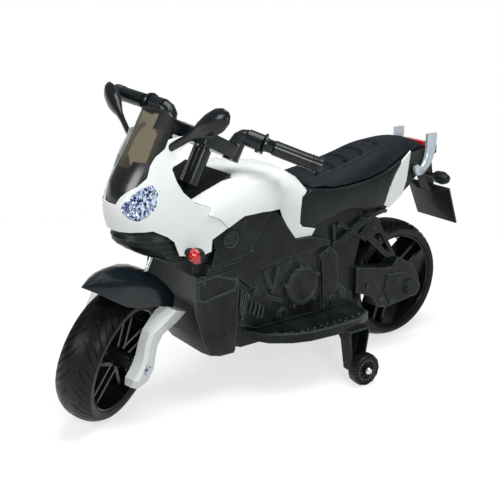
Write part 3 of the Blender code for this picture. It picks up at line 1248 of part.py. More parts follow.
def make_stabilisers():
    """Channel brackets under the footboards with an axle pin and a ribbed wheel each."""
    def bracket():
        section = [(STAB_IN - 0.016, FOOTBOARD_TOP - WALL - FIT), (STAB_IN + 0.007, FOOTBOARD_TOP - WALL - FIT),
                   (STAB_IN + 0.007, FOOTBOARD_TOP - FOOTBOARD_SKIRT - 0.001),
                   (STAB_OUT, FOOTBOARD_TOP - FOOTBOARD_SKIRT - 0.001), (STAB_OUT, 0.020), (STAB_IN, 0.020),
                   (STAB_IN, 0.100), (STAB_IN - 0.016, 0.122)]
        block = prism(section, STAB_Y - 0.030, STAB_Y + 0.030, "Y")
        side = [(STAB_Y - 0.031, 0.17), (STAB_Y - 0.029, 0.110), (STAB_Y - 0.015, 0.026),
                (STAB_Y - 0.008, 0.019), (STAB_Y + 0.008, 0.019), (STAB_Y + 0.015, 0.026),
                (STAB_Y + 0.029, 0.110), (STAB_Y + 0.031, 0.17)]
        block = shared(block, prism(side, 0.1, 0.22, "X"))
        hollow = prism(inset(side, 0.0032), STAB_IN + 0.003, 0.25, "X")
        hollow = cut(hollow, box((0.0, 0.0, FOOTBOARD_TOP - FOOTBOARD_SKIRT - 0.005), (0.3, 0.3, 0.3)))
        boss = lathe([(STAB_IN + 0.001, 0), (STAB_IN + 0.001, 0.0095), (STAB_OUT, 0.0085), (STAB_OUT, 0)], 12,
                     (0, STAB_Y, STAB_R))
        body = union(cut(block, hollow), boss)
        return cut(body, rod((0.1, STAB_Y, STAB_R), (0.3, STAB_Y, STAB_R), STAB_PIN + FIT, 12))

    both_sides("stab_bracket", bracket, BLACK)
    half = STAB_W / 2
    for side, word in ((1, "left"), (-1, "right")):
        hub = bpy.data.objects.new("stab_axis_" + word, None)
        bpy.context.scene.collection.objects.link(hub)
        hub.location = (side * STAB_X, STAB_Y, STAB_R)
        finish("stab_wheel_" + word, mirrored(stab_wheel(half), side), TYRE, hub, 30)
        head = STAB_IN - STAB_X
        out = half + 0.0010
        pin = lathe([(head - 0.004, 0), (head - 0.004, 0.0065), (head - FIT, 0.0065), (head - FIT, STAB_PIN),
                     (out, STAB_PIN), (out, STAB_NUT), (out + 0.003, STAB_NUT), (out + 0.0065, STAB_NUT * 0.75),
                     (out + 0.0065, 0)], 10)
        axle = finish("stab_axle_" + word, mirrored(pin, side), STEEL)
        axle.location = hub.location


def stab_wheel(half):
    """Small wheel: ribs round the tread, a sunk web with thin spokes on the outer side."""
    count = STAB_RIBS * 2
    bore = STAB_PIN + RUN
    profile = [(-half, STAB_R * 0.93), (-half * 0.72, STAB_R), (half * 0.72, STAB_R),
               (half, STAB_R * 0.93), (half - 0.005, STAB_R * 0.77), (half - 0.005, 0.010), (half, 0.009),
               (half, bore), (-half, bore)]
    bm = bmesh.new()
    columns = []
    for n in range(count):
        angle = 2 * math.pi * n / count
        column = []
        for k, (x, r) in enumerate(profile):
            ribbed = r - (0.0014 if n % 2 and k in (1, 2, 3) else 0.0)
            column.append(bm.verts.new((x, ribbed * math.cos(angle), ribbed * math.sin(angle))))
        columns.append(column)
    size = len(profile)
    for a, b in zip(columns, columns[1:] + columns[:1]):
        for i in range(size):
            j = (i + 1) % size
            bm.faces.new((a[i], a[j], b[j], b[i]))
    spokes = []
    for n in range(STAB_SPOKES):
        angle = 2 * math.pi * n / STAB_SPOKES
        spoke = box((half - 0.006, -0.0007, 0.010), (half - 0.0028, 0.0007, STAB_R * 0.775))
        bmesh.ops.rotate(spoke, verts=spoke.verts, matrix=Matrix.Rotation(angle, 3, "X"))
        spokes.append(spoke)
    return union(bm, *spokes)


def make_rear_wheel():
    hub = bpy.data.objects.new("rear_wheel_axis", None)
    bpy.context.scene.collection.objects.link(hub)
    hub.location = (0, REAR_AXLE_Y, REAR_R)
    tyre("rear_tyre", REAR_W, REAR_R, hub)
    rim("rear_rim", REAR_W, REAR_R, SWING_IN - 0.0012, hub)


def make_swing_arm():
    """Moulded swing arm: a tray each side of the rear wheel, joined ahead of it, with axle bosses."""
    parts = []
    for side in (-1, 1):
        skin = prism(SWING_SIDE, SWING_IN, SWING_OUT, "X")
        hollow = inset(SWING_SIDE, 0.004)
        inside = prism([p for p in hollow], SWING_IN - 0.01, SWING_OUT - 0.004, "X")
        arm = cut(skin, inside)
        step = prism(SWING_STEP, SWING_OUT - 0.001, SWING_OUT + 0.0045, "X")
        boss = lathe([(SWING_IN, 0), (SWING_IN, 0.0135), (SWING_OUT - 0.001, 0.0135), (SWING_OUT - 0.001, 0.0215),
                      (SWING_OUT + 0.012, 0.0215), (SWING_OUT + 0.014, 0.0185), (SWING_OUT + 0.014, 0)], 12,
                     (0, REAR_AXLE_Y, REAR_R))
        foot = stud(0.274, 0.131, 0.0125, SWING_OUT - 0.001, SWING_OUT + 0.005, 8)
        screw = stud(0.221, 0.181, 0.004, SWING_OUT - 0.001, SWING_OUT + 0.002, 6)
        parts.append(mirrored(union(arm, step, boss, foot, screw), side))
    link = box((-SWING_IN - 0.002, 0.1858, 0.178), (SWING_IN + 0.002, 0.2045, 0.226))
    body = union(link, *parts)
    bore = rod((-AXLE_END - FIT, REAR_AXLE_Y, REAR_R), (AXLE_END + FIT, REAR_AXLE_Y, REAR_R), AXLE_R + FIT, 12)
    finish("swing_arm", cut(body, bore), GREY)
    finish("rear_axle", rod((-AXLE_END, REAR_AXLE_Y, REAR_R), (AXLE_END, REAR_AXLE_Y, REAR_R), AXLE_R, 12), STEEL)
    case = prism(GEARBOX_SIDE, -SWING_OUT + 0.004 + FIT, -SWING_IN, "X")
    bevelled(case, 0.002)
    can = lathe([(-SWING_OUT + 0.0075, 0), (-SWING_OUT + 0.0075, 0.0175), (-SWING_IN + 0.001, 0.0175),
                 (-SWING_IN + 0.001, 0)], 16, (0, 0.2240, 0.1960))
    finish("motor_gearbox", union(case, can), GREY)


def make_rear_frame():
    """Trellis under the seat on both sides, tied by a cross tube in front of the rear wheel."""
    low, high = CHASSIS_X + FIT, CHASSIS_X + 0.0085
    parts = []
    for side in (-1, 1):
        hanger = prism(HANGER_SIDE, low, high, "X")
        hanger = cut(hanger, prism(HANGER_HOLE, low - 0.01, high + 0.01, "X"))
        bars = [bar((0.113, 0.349), (0.118, 0.300), 0.006, low, high),
                bar((0.130, 0.349), (0.215, 0.296), 0.0075, low, high),
                bar((0.118, 0.303), (0.205, 0.349), 0.006, low, high),
                bar((0.205, 0.349), (0.245, 0.338), 0.006, low, high)]
        strut = []
        for (x, y, z), (nx, ny) in STRUT_PATH:
            strut.append([(x - 0.0042, y - nx, z - ny), (x + 0.0042, y - nx, z - ny),
                          (x + 0.0042, y + nx, z + ny), (x - 0.0042, y + nx, z + ny)])
        parts.append(mirrored(union(loft(strut), hanger, *bars), side))
    tie = rod((-CHASSIS_X - 0.003, *TIE_AT), (CHASSIS_X + 0.003, *TIE_AT), 0.006, 12)
    finish("rear_frame", union(tie, *parts), BLACK)


def rail_half(y):
    """Half width of the seat and tail at a distance along the bike."""
    return along(SEAT_HALF, y)


def seat_rim(y):
    """Height of the cushion's lower edge."""
    return along([(at, low) for at, crown, low, half in CUSHION], y)


def make_cushion():
    """Upholstered cushion: crowned, drawn in at its lower edge, with two bowed channels."""
    rings = []
    for y, top, rim_z, half in CUSHION:
        rise = top - rim_z
        right = [(0.0, top), (half * 0.35, top - rise * 0.03), (half * 0.64, top - rise * 0.13),
                 (half * 0.85, top - rise * 0.33), (half * 0.97, top - rise * 0.62),
                 (half, top - rise * 0.88), (half * 0.97, rim_z)]
        ring = [(x, y, z) for x, z in right] + [(-x, y, z) for x, z in reversed(right[1:])]
        rings.append(ring)
    body = loft(rings)
    finish("seat_cushion", body, SEAT, None, 60)


def make_seat_base():
    """Plastic seat pan: a deck under the cushion with skirts down each side."""
    stations = sorted({y for y, t, r, h in CUSHION if 0.045 < y < SEAT_PAN_END} | {0.016, 0.030, SEAT_PAN_END}
                      | {y for y, w in SEAT_HALF if 0.05 < y < SEAT_PAN_END})
    outer, inner = [], []
    for y in stations:
        half = rail_half(y)
        deck = seat_rim(y) - FIT
        right = [(half - 0.003, deck), (half, deck - 0.006), (half, 0.34)]
        ring = [(-x, y, z) for x, z in reversed(right)] + [(x, y, z) for x, z in right]
        outer.append(ring)
    for y in [stations[0] - 0.01] + stations + [SEAT_PAN_END + 0.01]:
        half = rail_half(y) - WALL
        deck = seat_rim(y) - FIT - WALL
        right = [(half, deck), (half, 0.33)]
        inner.append([(-x, y, z) for x, z in reversed(right)] + [(x, y, z) for x, z in right])
    body = cut(loft(outer), loft(inner))
    body = shared(body, prism(SKIRT_SIDE, -0.2, 0.2, "X"))
    finish("seat_base", body, BLACK)


def make_tail():
    """Tail tray from the chassis to the rear lamp, below the seat."""
    body = loft(tail_rings())
    hollow = []
    for y, low, top in tail_stations()[:-2]:
        half = rail_half(y) - WALL * 2 - FIT * 2
        right = [(half * 0.5, low + WALL + 0.002), (half, low + WALL + 0.009), (half, top - WALL)]
        hollow.append([(x, y, z) for x, z in right] + [(-x, y, z) for x, z in reversed(right)])
    hollow[0] = [(x, y - 0.01, z) for x, y, z in hollow[0]]
    bar_hole = rod((-0.1, *RAIL_BAR_AT), (0.1, *RAIL_BAR_AT), RAIL_BAR_R + FIT, 10)
    finish("tail_tray", cut(body, loft(hollow), bar_hole), BLACK)


def along(line, y):
    """Straight interpolation in a list of (y, value)."""
    for (y0, v0), (y1, v1) in zip(line, line[1:]):
        if y0 <= y <= y1:
            return v0 + (v1 - v0) * (y - y0) / (y1 - y0)
    return line[0][1] if y < line[0][0] else line[-1][1]


def tail_stations():
    """(y, low, top) of the tail tray: its top follows the seat pan, then the cushion."""
    first, last = TAIL_LOW[0][0], TAIL_LOW[-1][0]
    knots = {y for y, z in TAIL_LOW} | {SEAT_PAN_END - FIT, SEAT_PAN_END + FIT, 0.41, TAIL_LAMP_Y - 0.001}
    result = []
    for y in sorted(k for k in knots if first <= k <= last):
        top = seat_rim(y) - FIT
        if y < SEAT_PAN_END:
            top -= WALL + 0.0012
        result.append((y, along(TAIL_LOW, y), top))
    return result


def make_tail_inserts():
    """White blades on the sides of the tail."""
    def build():
        rings = []
        for y in (0.27, 0.30, 0.35, 0.39):
            half = rail_half(y)
            rings.append([(half - WALL, y, 0.34), (half + 0.001, y, 0.34), (half + 0.001, y, 0.50),
                          (half - WALL, y, 0.50)])
        return shared(loft(rings), prism(INSERT_SIDE, 0.0, 0.2, "X"))

    both_sides("tail_insert", build, WHITE)


def make_grab_rail():
    """Grab handles that curl up behind the seat, tied together by a bar through the tail."""
    parts = []
    for side in (-1, 1):
        rings = []
        points = spline([(y, z, w) for y, z, w in RAIL_PATH], 2)
        for i, p in enumerate(points):
            ahead = points[min(i + 1, len(points) - 1)] - points[max(i - 1, 0)]
            run = Vector((ahead.x, ahead.y)).normalized()
            across = Vector((-run.y, run.x)) * p.z / 2
            x0 = rail_half(p.x) + RAIL_OFF
            x1 = x0 + RAIL_THICK
            a, b = (p.x + across.x, p.y + across.y), (p.x - across.x, p.y - across.y)
            inner = 0.72
            am = (p.x + across.x * inner, p.y + across.y * inner)
            bm_ = (p.x - across.x * inner, p.y - across.y * inner)
            rings.append([(x0, *a), (x1 - 0.003, *a), (x1, *am), (x1, *bm_), (x1 - 0.003, *b), (x0, *b)])
        parts.append(mirrored(loft(rings), side))
    half = rail_half(RAIL_BAR_AT[0]) + RAIL_OFF + 0.004
    bridge = rod((-half, *RAIL_BAR_AT), (half, *RAIL_BAR_AT), RAIL_BAR_R, 10)
    finish("grab_rail", union(bridge, *parts), SILVER)


def make_tail_light():
    outline = [(TAIL_LAMP_Y, seat_rim(1)), (TAIL_LAMP_Y, 0.4935), (0.472, 0.4900), (0.4885, 0.4845),
               (0.4925, seat_rim(1))]
    lens = bevelled(prism(outline, -0.036, 0.036, "X"), 0.002)
    finish("tail_light", lens, RED)


def make_plate_holder():
    """Plate carrier on an arm behind the tail: flat behind, a low pyramid in front, lamp stalks."""
    top, low = Vector(PLATE_TOP), Vector(PLATE_LOW)
    down = (low - top).normalized()
    ahead = Vector((-down.y, down.x)) * -1
    if ahead.x > 0:
        ahead = -ahead

    def ring(half_top, half_low, start, end, forward):
        a = top + down * start + ahead * forward
        b = top + down * end + ahead * forward
        return [(-half_top, a.x, a.y), (half_top, a.x, a.y), (half_low, b.x, b.y), (-half_low, b.x, b.y)]

    length = (low - top).length
    rings = [ring(PLATE_HALF + 0.005, PLATE_HALF, 0, length, 0.0), ring(PLATE_HALF + 0.005, PLATE_HALF, 0, length, 0.004),
             ring(0.030, 0.018, 0.012, 0.050, 0.016)]
    plate = loft(rings)
    arm = prism([(0.448, 0.4345), (0.470, 0.4470), (0.4980, 0.4560), (0.5060, 0.4200), (0.5200, 0.3600),
                 (0.5090, 0.3500), (0.4960, 0.3720), (0.4800, 0.4050)], -0.016, 0.016, "X")
    stalks = []
    for side in (-1, 1):
        stalk = tube([(0.010 * side, 0.486, 0.402), (0.040 * side, 0.486, 0.402), (0.052 * side, 0.486, 0.402),
                      (0.074 * side, 0.486, 0.402), (0.088 * side, 0.486, 0.401), (0.093 * side, 0.486, 0.400)],
                     [0.006, 0.007, 0.0150, 0.0165, 0.0110, 0.0035], 10)
        stalk = cut(stalk, box((side * 0.07 - 0.03, INDICATOR_FACE, 0.37), (side * 0.07 + 0.03, 0.56, 0.43)))
        stalks.append(stalk)
    body = union(plate, arm, *stalks)
    body = cut(body, loft([[(x, y + FIT * 0.5, z - FIT) for x, y, z in ring_] for ring_ in tail_rings()]))
    finish("plate_holder", body, BLACK)


def tail_rings():
    """The outside of the tail tray, as rings, used to trim what bolts on to it."""
    rings = []
    for y, low, top in tail_stations():
        half = rail_half(y) - WALL - FIT * 2
        shoulder = min(0.008, (top - low) * 0.3)
        right = [(half * 0.55, low), (half, low + shoulder), (half, top)]
        rings.append([(x, y, z) for x, z in right] + [(-x, y, z) for x, z in reversed(right)])
    return rings


def make_rear_indicators():
    """Red lenses on the backs of the lamp stalks."""
    def build():
        lens = tube([(0.0525, 0.486, 0.402), (0.074, 0.486, 0.402), (0.088, 0.486, 0.401)],
                    [0.0148, 0.0165, 0.0110], 10)
        return shared(lens, box((0.045, INDICATOR_FACE + FIT, 0.37), (0.1, 0.56, 0.43)))

    both_sides("rear_indicator", build, RED)


def main():
    for obj in list(bpy.data.objects):
        bpy.data.objects.remove(obj)
    steering = steering_frame()
    make_front_wheel(steering)
    make_front_axle(steering)
    make_fork(steering)
    make_stem(steering)
    make_fork_covers(steering)
    make_fender(steering)
    make_top_clamp(steering)
    make_grips(steering)
    make_buttons(steering)
    make_nose()
    make_headlights()
    make_windshield()
    make_nose_duct(steering)
    make_liner(steering)
    make_mirrors()
    make_tank()
    make_chassis()
    make_battery()
    make_belly()
    make_spar()
    make_side_panel()
    make_turn_lenses()
    make_engine()
    make_footboards()
    make_pedal()
    make_stabilisers()
    make_rear_wheel()
    make_swing_arm()
    make_rear_frame()
    make_cushion()
    make_seat_base()
    make_tail()
    make_tail_inserts()
    make_grab_rail()
    make_tail_light()
    make_plate_holder()
    make_rear_indicators()


main()
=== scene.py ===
# %% [markdown]
# # A child's electric motorcycle, dressed for its picture
# The hard mouldings of this ride-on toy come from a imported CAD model. This lesson loads
# that model as a fixed frame, gives every moulding a finish made from shader nodes, puts
# treaded tyres and a padded seat in place of the plain ones, adds the screws, sleeves and
# trim that a hand would find on the real toy, and sets up a plain photo studio around it.
#
# The frame could be rebuilt by hand in Blender, but then nothing would be sure to fit.
# Loading it means that every new piece is placed with the same numbers as the mouldings.

# %% Load the frame
import json
import math

import bmesh
import bpy
import numpy as np
from mathutils import Matrix, Vector
from mathutils.bvhtree import BVHTree

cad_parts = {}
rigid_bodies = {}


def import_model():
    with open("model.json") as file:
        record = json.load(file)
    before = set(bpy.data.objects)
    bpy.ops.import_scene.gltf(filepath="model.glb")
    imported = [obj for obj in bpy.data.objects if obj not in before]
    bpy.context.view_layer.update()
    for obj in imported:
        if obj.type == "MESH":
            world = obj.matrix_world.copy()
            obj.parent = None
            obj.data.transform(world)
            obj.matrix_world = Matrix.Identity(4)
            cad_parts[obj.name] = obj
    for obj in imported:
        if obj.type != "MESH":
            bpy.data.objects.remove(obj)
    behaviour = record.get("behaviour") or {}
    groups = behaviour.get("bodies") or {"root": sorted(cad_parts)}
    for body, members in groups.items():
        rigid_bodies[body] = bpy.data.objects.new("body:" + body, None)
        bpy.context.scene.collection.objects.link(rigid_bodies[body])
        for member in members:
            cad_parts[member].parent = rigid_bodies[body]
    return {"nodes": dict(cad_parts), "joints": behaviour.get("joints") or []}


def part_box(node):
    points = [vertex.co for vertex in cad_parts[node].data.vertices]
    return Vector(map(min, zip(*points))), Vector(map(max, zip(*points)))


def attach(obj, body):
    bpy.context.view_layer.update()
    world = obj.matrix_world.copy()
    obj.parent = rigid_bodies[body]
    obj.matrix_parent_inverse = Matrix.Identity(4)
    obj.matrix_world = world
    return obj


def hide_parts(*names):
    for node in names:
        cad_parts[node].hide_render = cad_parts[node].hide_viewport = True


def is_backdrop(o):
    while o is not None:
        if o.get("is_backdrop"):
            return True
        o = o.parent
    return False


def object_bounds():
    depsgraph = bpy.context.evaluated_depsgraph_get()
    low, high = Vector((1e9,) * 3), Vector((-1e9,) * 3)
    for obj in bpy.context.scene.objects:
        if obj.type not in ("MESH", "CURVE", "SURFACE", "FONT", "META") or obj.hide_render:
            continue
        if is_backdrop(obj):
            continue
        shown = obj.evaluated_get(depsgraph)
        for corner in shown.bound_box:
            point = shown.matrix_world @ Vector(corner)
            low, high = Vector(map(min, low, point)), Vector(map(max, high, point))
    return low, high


for leftover in list(bpy.data.objects):
    bpy.data.objects.remove(leftover)
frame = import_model()
nodes = frame["nodes"]
cad_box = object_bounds()
joints = {joint["name"]: joint for joint in frame["joints"]}
WELD = 0.00002             # points nearer than this are one point, in metres

# %% [markdown]
# ## Writing a finish as sums
# A shader is a graph, and a graph of sums is hard to read as a list of nodes. `Wire` wraps
# one output and gives it the usual signs, so `1 - mask` adds the Math node that does it.
# `Finish` holds one material. Its `add` method makes any other node: first its settings,
# then what goes into its sockets, by the socket's own name.

# %% Wires and finishes
class Wire:
    """One output of a node, which can be added, scaled and compared."""

    def __init__(self, finish, socket):
        self.finish = finish
        self.socket = socket

    def sum_of(self, operation, *terms):
        kind = "ShaderNodeVectorMath" if self.socket.type == "VECTOR" else "ShaderNodeMath"
        return self.finish.add(kind, {"operation": operation}, dict(enumerate(terms)))

    def __add__(self, other):
        return self.sum_of("ADD", self, other)

    def __sub__(self, other):
        return self.sum_of("SUBTRACT", self, other)

    def __rsub__(self, other):
        return self.sum_of("SUBTRACT", other, self)

    def __mul__(self, other):
        return self.sum_of("MULTIPLY", self, other)

    def __gt__(self, edge):
        return self.sum_of("GREATER_THAN", self, edge)

    def __lt__(self, edge):
        return self.sum_of("LESS_THAN", self, edge)

    def __or__(self, other):
        return self.sum_of("MAXIMUM", self, other)

    def __and__(self, other):
        return self.sum_of("MINIMUM", self, other)

    __radd__ = __add__

    def size(self):
        return self.sum_of("ABSOLUTE", self)

    def wave(self):
        return self.sum_of("SINE", self)

    def ramp(self, low, high, to_low=0.0, to_high=1.0):
        """low to high becomes to_low to to_high, and stays there beyond."""
        return self.finish.add("ShaderNodeMapRange", {"clamp": True},
                               {"Value": self, "From Min": low, "From Max": high,
                                "To Min": to_low, "To Max": to_high})


class Finish:
    """One material under construction. It ends in a single surface shader."""

    def __init__(self, name):
        self.material = bpy.data.materials.new(name)
        self.material.use_nodes = True
        self.tree = self.material.node_tree
        self.tree.nodes.clear()
        self.place = self.add("ShaderNodeTexCoord", out="Object")

    def add(self, kind, settings=None, sockets=None, out=0):
        node = self.tree.nodes.new(kind)
        for key, value in (settings or {}).items():
            setattr(node, key, value)
        for key, value in (sockets or {}).items():
            socket = self.find(node.inputs, key)
            if isinstance(value, Wire):
                self.tree.links.new(value.socket, socket)
            else:
                socket.default_value = value
        return Wire(self, self.find(node.outputs, out)) if node.outputs else None

    @staticmethod
    def find(sockets, key):
        if isinstance(key, int):
            return sockets[key]
        return next(s for s in sockets if key in (s.identifier, s.name))

    def noise(self, scale, detail=3.0, roughness=0.5):
        return self.add("ShaderNodeTexNoise", None,
                        {"Vector": self.place, "Scale": scale, "Detail": detail,
                         "Roughness": roughness})

    def cells(self, scale, feature="F1", out="Distance", place=None):
        return self.add("ShaderNodeTexVoronoi", {"feature": feature},
                        {"Vector": place or self.place, "Scale": scale}, out)

    def blend(self, a, b, factor):
        """Colour a where factor is 0, colour b where it is 1."""
        return self.add("ShaderNodeMix", {"data_type": "RGBA"},
                        {"Factor_Float": factor, "A_Color": a, "B_Color": b}, "Result_Color")

    def along(self, axis):
        return self.add("ShaderNodeSeparateXYZ", None, {"Vector": self.place}, axis)

    def corner_wear_and_highlight(self, width):
        """1 on corners, within a width in metres, and 0 elsewhere: the mask of a painted corner
        highlight, with some wear.
        """
        rounded = self.add("ShaderNodeBevel", {"samples": 4}, {"Radius": width})
        true = self.add("ShaderNodeNewGeometry", out="True Normal")
        alike = self.add("ShaderNodeVectorMath", {"operation": "DOT_PRODUCT"},
                         {0: rounded, 1: true}, "Value")
        return alike.ramp(0.995, 0.86)

    def relief(self, height, depth, strength=1.0, below=None):
        """Surface relief of a height between 0 and 1, with its depth in metres."""
        sockets = {"Height": height, "Distance": depth, "Strength": strength}
        if below:
            sockets["Normal"] = below
        return self.add("ShaderNodeBump", None, sockets, "Normal")

    def surface(self, **sockets):
        named = {key.replace("_", " "): value for key, value in sockets.items()}
        shader = self.add("ShaderNodeBsdfPrincipled", None, named)
        return self.close(shader)

    def close(self, shader):
        self.add("ShaderNodeOutputMaterial", None, {"Surface": shader})
        return self.material


def rgb(red, green, blue):
    return (red, green, blue, 1.0)


print("finishes are written as sums")

# %% [markdown]
# ## Moulded plastic
# The toy is blow-moulded and injected. Its white skins are smooth with a slight ripple,
# its black parts have the fine sparked grain of a steel mould, and both lose a little
# colour in dust specks. The corners of the black parts are painted paler, as a painted
# highlight with some rubbed wear. An image could show this, but a grain that is worked
# out from the place of each point needs no unwrapping and never stretches.

# %% White, black and engine plastic
EDGE_WEAR_AND_HIGHLIGHT = 0.0032         # how far from a corner its painted highlight line, with some wear, reaches


def moulded(name, colour, pale, rough, grain, ripple=0.0004, coat=0.0, spread=0.10, gleam=0.5,
            edges=0.0):
    """Plastic out of a mould: colour drift, worn gloss, grain, a slow ripple, and corners painted paler
    as a highlight with some wear.
    """
    f = Finish(name)
    drift = f.noise(9.0, 4.0, 0.6)
    mottle = f.noise(70.0, 3.0, 0.6)
    specks = f.cells(900.0).ramp(0.0, 0.16, 1.0, 0.0) * f.noise(24.0).ramp(0.56, 0.70)
    shade = drift.ramp(0.35, 0.75, 0.0, 0.55) + mottle.ramp(0.4, 0.8, 0.0, 0.25)
    if edges:
        # Corners are painted paler here: a painted highlight, with some rubbed wear.
        shade = shade * 0.35 | f.corner_wear_and_highlight(EDGE_WEAR_AND_HIGHLIGHT) * (0.55 + mottle * 0.6) * edges
    tone = f.blend(colour, pale, shade | specks * 0.4)
    gloss = rough + (drift - 0.5) * spread + specks * 0.12
    fine = f.relief(f.noise(1500.0, 2.0), grain, 0.6, f.relief(drift, ripple, 0.5))
    return f.surface(Base_Color=tone, Roughness=gloss, Normal=fine, Coat_Weight=coat,
                     Coat_Roughness=0.06, IOR=1.49, Specular_IOR_Level=gleam)


WHITE = moulded("white_plastic", rgb(0.79, 0.83, 0.815), rgb(0.84, 0.87, 0.86), 0.27, 0.00001,
                ripple=0.0005, gleam=0.35)
BLACK = moulded("black_plastic", rgb(0.0034, 0.0048, 0.0047), rgb(0.085, 0.102, 0.097), 0.34,
                0.00004, gleam=0.15, edges=1.0)
# The engine copy is paler at its corners: a stronger painted highlight on its edges, with some wear.
ENGINE = moulded("engine_plastic", rgb(0.0034, 0.0050, 0.0047), rgb(0.120, 0.142, 0.134), 0.34,
                 0.00006, gleam=0.15, edges=1.0)
SKIRT = moulded("satin_skirt_plastic", rgb(0.0052, 0.0072, 0.0078), rgb(0.020, 0.026, 0.027), 0.40,
                0.00004, gleam=0.22)
NAVY = moulded("gloss_navy_plastic", rgb(0.0046, 0.0080, 0.0110), rgb(0.010, 0.017, 0.023), 0.24,
               0.00001, ripple=0.0003, coat=0.10, spread=0.06, gleam=0.22)
RIM = moulded("gloss_rim_plastic", rgb(0.0030, 0.0038, 0.0040), rgb(0.010, 0.012, 0.013), 0.20,
              0.00001, ripple=0.0003, coat=0.05, spread=0.06, gleam=0.20)
GLOSS = moulded("grip_and_mirror_plastic", rgb(0.0045, 0.0065, 0.0080), rgb(0.014, 0.019, 0.022),
                0.25, 0.00001, ripple=0.0003, coat=0.10, spread=0.08, gleam=0.30)
DOT = moulded("footboard_dot_plastic", rgb(0.05, 0.06, 0.058), rgb(0.10, 0.115, 0.11), 0.42,
              0.00003)
BATTERY = moulded("battery_case_plastic", rgb(0.09, 0.10, 0.12), rgb(0.14, 0.15, 0.17), 0.5,
                  0.00005)
plastics = (WHITE, BLACK, ENGINE, SKIRT, NAVY, RIM, GLOSS, DOT, BATTERY)
print("moulded finishes:", [plastic.name for plastic in plastics])

# %% [markdown]
# ## Tyre, metal and lens finishes
# The tyres are hard blown plastic with pale scuffs. The axle nuts and the steering rod are
# zinc plated, which shows as faint blue streaks. The lamps are cast in clear and red
# plastic with fine flutes. Each finish varies only what really varies, and what is the
# same all over is set once as a plain number.

# %% Tyres
def tyre_finish():
    f = Finish("tyre_plastic")
    scuff = f.noise(38.0, 5.0, 0.7).ramp(0.48, 0.72) * f.noise(6.0).ramp(0.35, 0.65, 0.3, 1.0)
    dust = f.noise(240.0, 3.0, 0.7)
    tone = f.blend(rgb(0.0040, 0.0048, 0.0046), rgb(0.014, 0.017, 0.015), scuff * 0.8)
    pores = f.relief(dust, 0.00012, 0.7, f.relief(scuff, 0.00018, 0.5))
    return f.surface(Base_Color=tone, Roughness=0.40 + scuff * 0.16 + (dust - 0.5) * 0.14,
                     Normal=pores, Specular_IOR_Level=0.20)


TYRE = tyre_finish()
print("tyre finish:", TYRE.name)


# %% Zinc plate, silver paint and bright plating
def metal(name, colour, tint, rough, streak, metallic=1.0, flake=0.0):
    """Plated or painted metal, with streaks of a tint and, in paint, bright flakes."""
    f = Finish(name)
    run = f.noise(streak, 4.0, 0.65)
    spot = f.cells(1700.0, out="Color")
    spark = f.add("ShaderNodeSeparateColor", None, {"Color": spot}, "Red")
    tone = f.blend(colour, tint, run.ramp(0.35, 0.7))
    scratch = f.noise(600.0, 2.0)
    return f.surface(Base_Color=tone, Metallic=metallic + (spark - 0.5) * flake,
                     Roughness=rough + (run - 0.5) * 0.18 + (spark - 0.5) * flake * 0.4,
                     Normal=f.relief(scratch, 0.00003, 0.5))


ZINC = metal("zinc_plate", rgb(0.60, 0.63, 0.66), rgb(0.50, 0.56, 0.66), 0.26, 120.0)
SILVER = metal("silver_paint", rgb(0.48, 0.56, 0.62), rgb(0.58, 0.65, 0.70), 0.34, 30.0,
               metallic=0.45, flake=0.30)
ZINC_DARK = metal("black_zinc_plate", rgb(0.035, 0.042, 0.042), rgb(0.075, 0.085, 0.085), 0.34,
                  120.0)
# A dark blue copy of the plating for facets that catch no light: painted shade.
PLATING_PAINTED_DARK = metal("plating_painted_dark_blue", rgb(0.05, 0.08, 0.22), rgb(0.16, 0.22, 0.48), 0.14, 90.0)
PLATED = metal("bright_plating", rgb(0.80, 0.84, 0.92), rgb(0.62, 0.72, 0.94), 0.12, 90.0)
print("metal finishes:", [m.name for m in (ZINC, SILVER, ZINC_DARK, PLATING_PAINTED_DARK, PLATED)])


# %% Lamp lenses and the tinted screen
def lens(name, colour, clear, rough, flutes, through):
    """Cast lens: flutes run across it, with a faint haze of dust."""
    f = Finish(name)
    haze = f.noise(60.0, 3.0, 0.6)
    ribs = (f.along("X") * flutes).wave() * 0.5 + 0.5
    tone = f.blend(colour, clear, haze.ramp(0.4, 0.75, 0.0, 0.5))
    return f.surface(Base_Color=tone, Roughness=rough + (haze - 0.45) * 0.08,
                     Transmission_Weight=through, IOR=1.46, Normal=f.relief(ribs, 0.00012, 0.3),
                     Coat_Weight=0.4, Coat_Roughness=0.04)


CLEAR = lens("clear_lens", rgb(0.93, 0.96, 1.0), rgb(0.98, 0.99, 1.0), 0.03, 260.0, 1.0)
RED = lens("red_lens", rgb(0.55, 0.010, 0.012), rgb(0.72, 0.04, 0.03), 0.14, 1400.0, 0.12)


FOOT, FOOT_SIDES = 0.529, 0.542      # top of the black paint at the screen's foot
BROW, BROW_SIDES = 0.6330, 0.6045    # lower edge of the black paint at its top
INNER_FOOT, INNER_BROW, EDGE = 0.0245, 0.0330, 0.0560   # where each step lies, from the middle


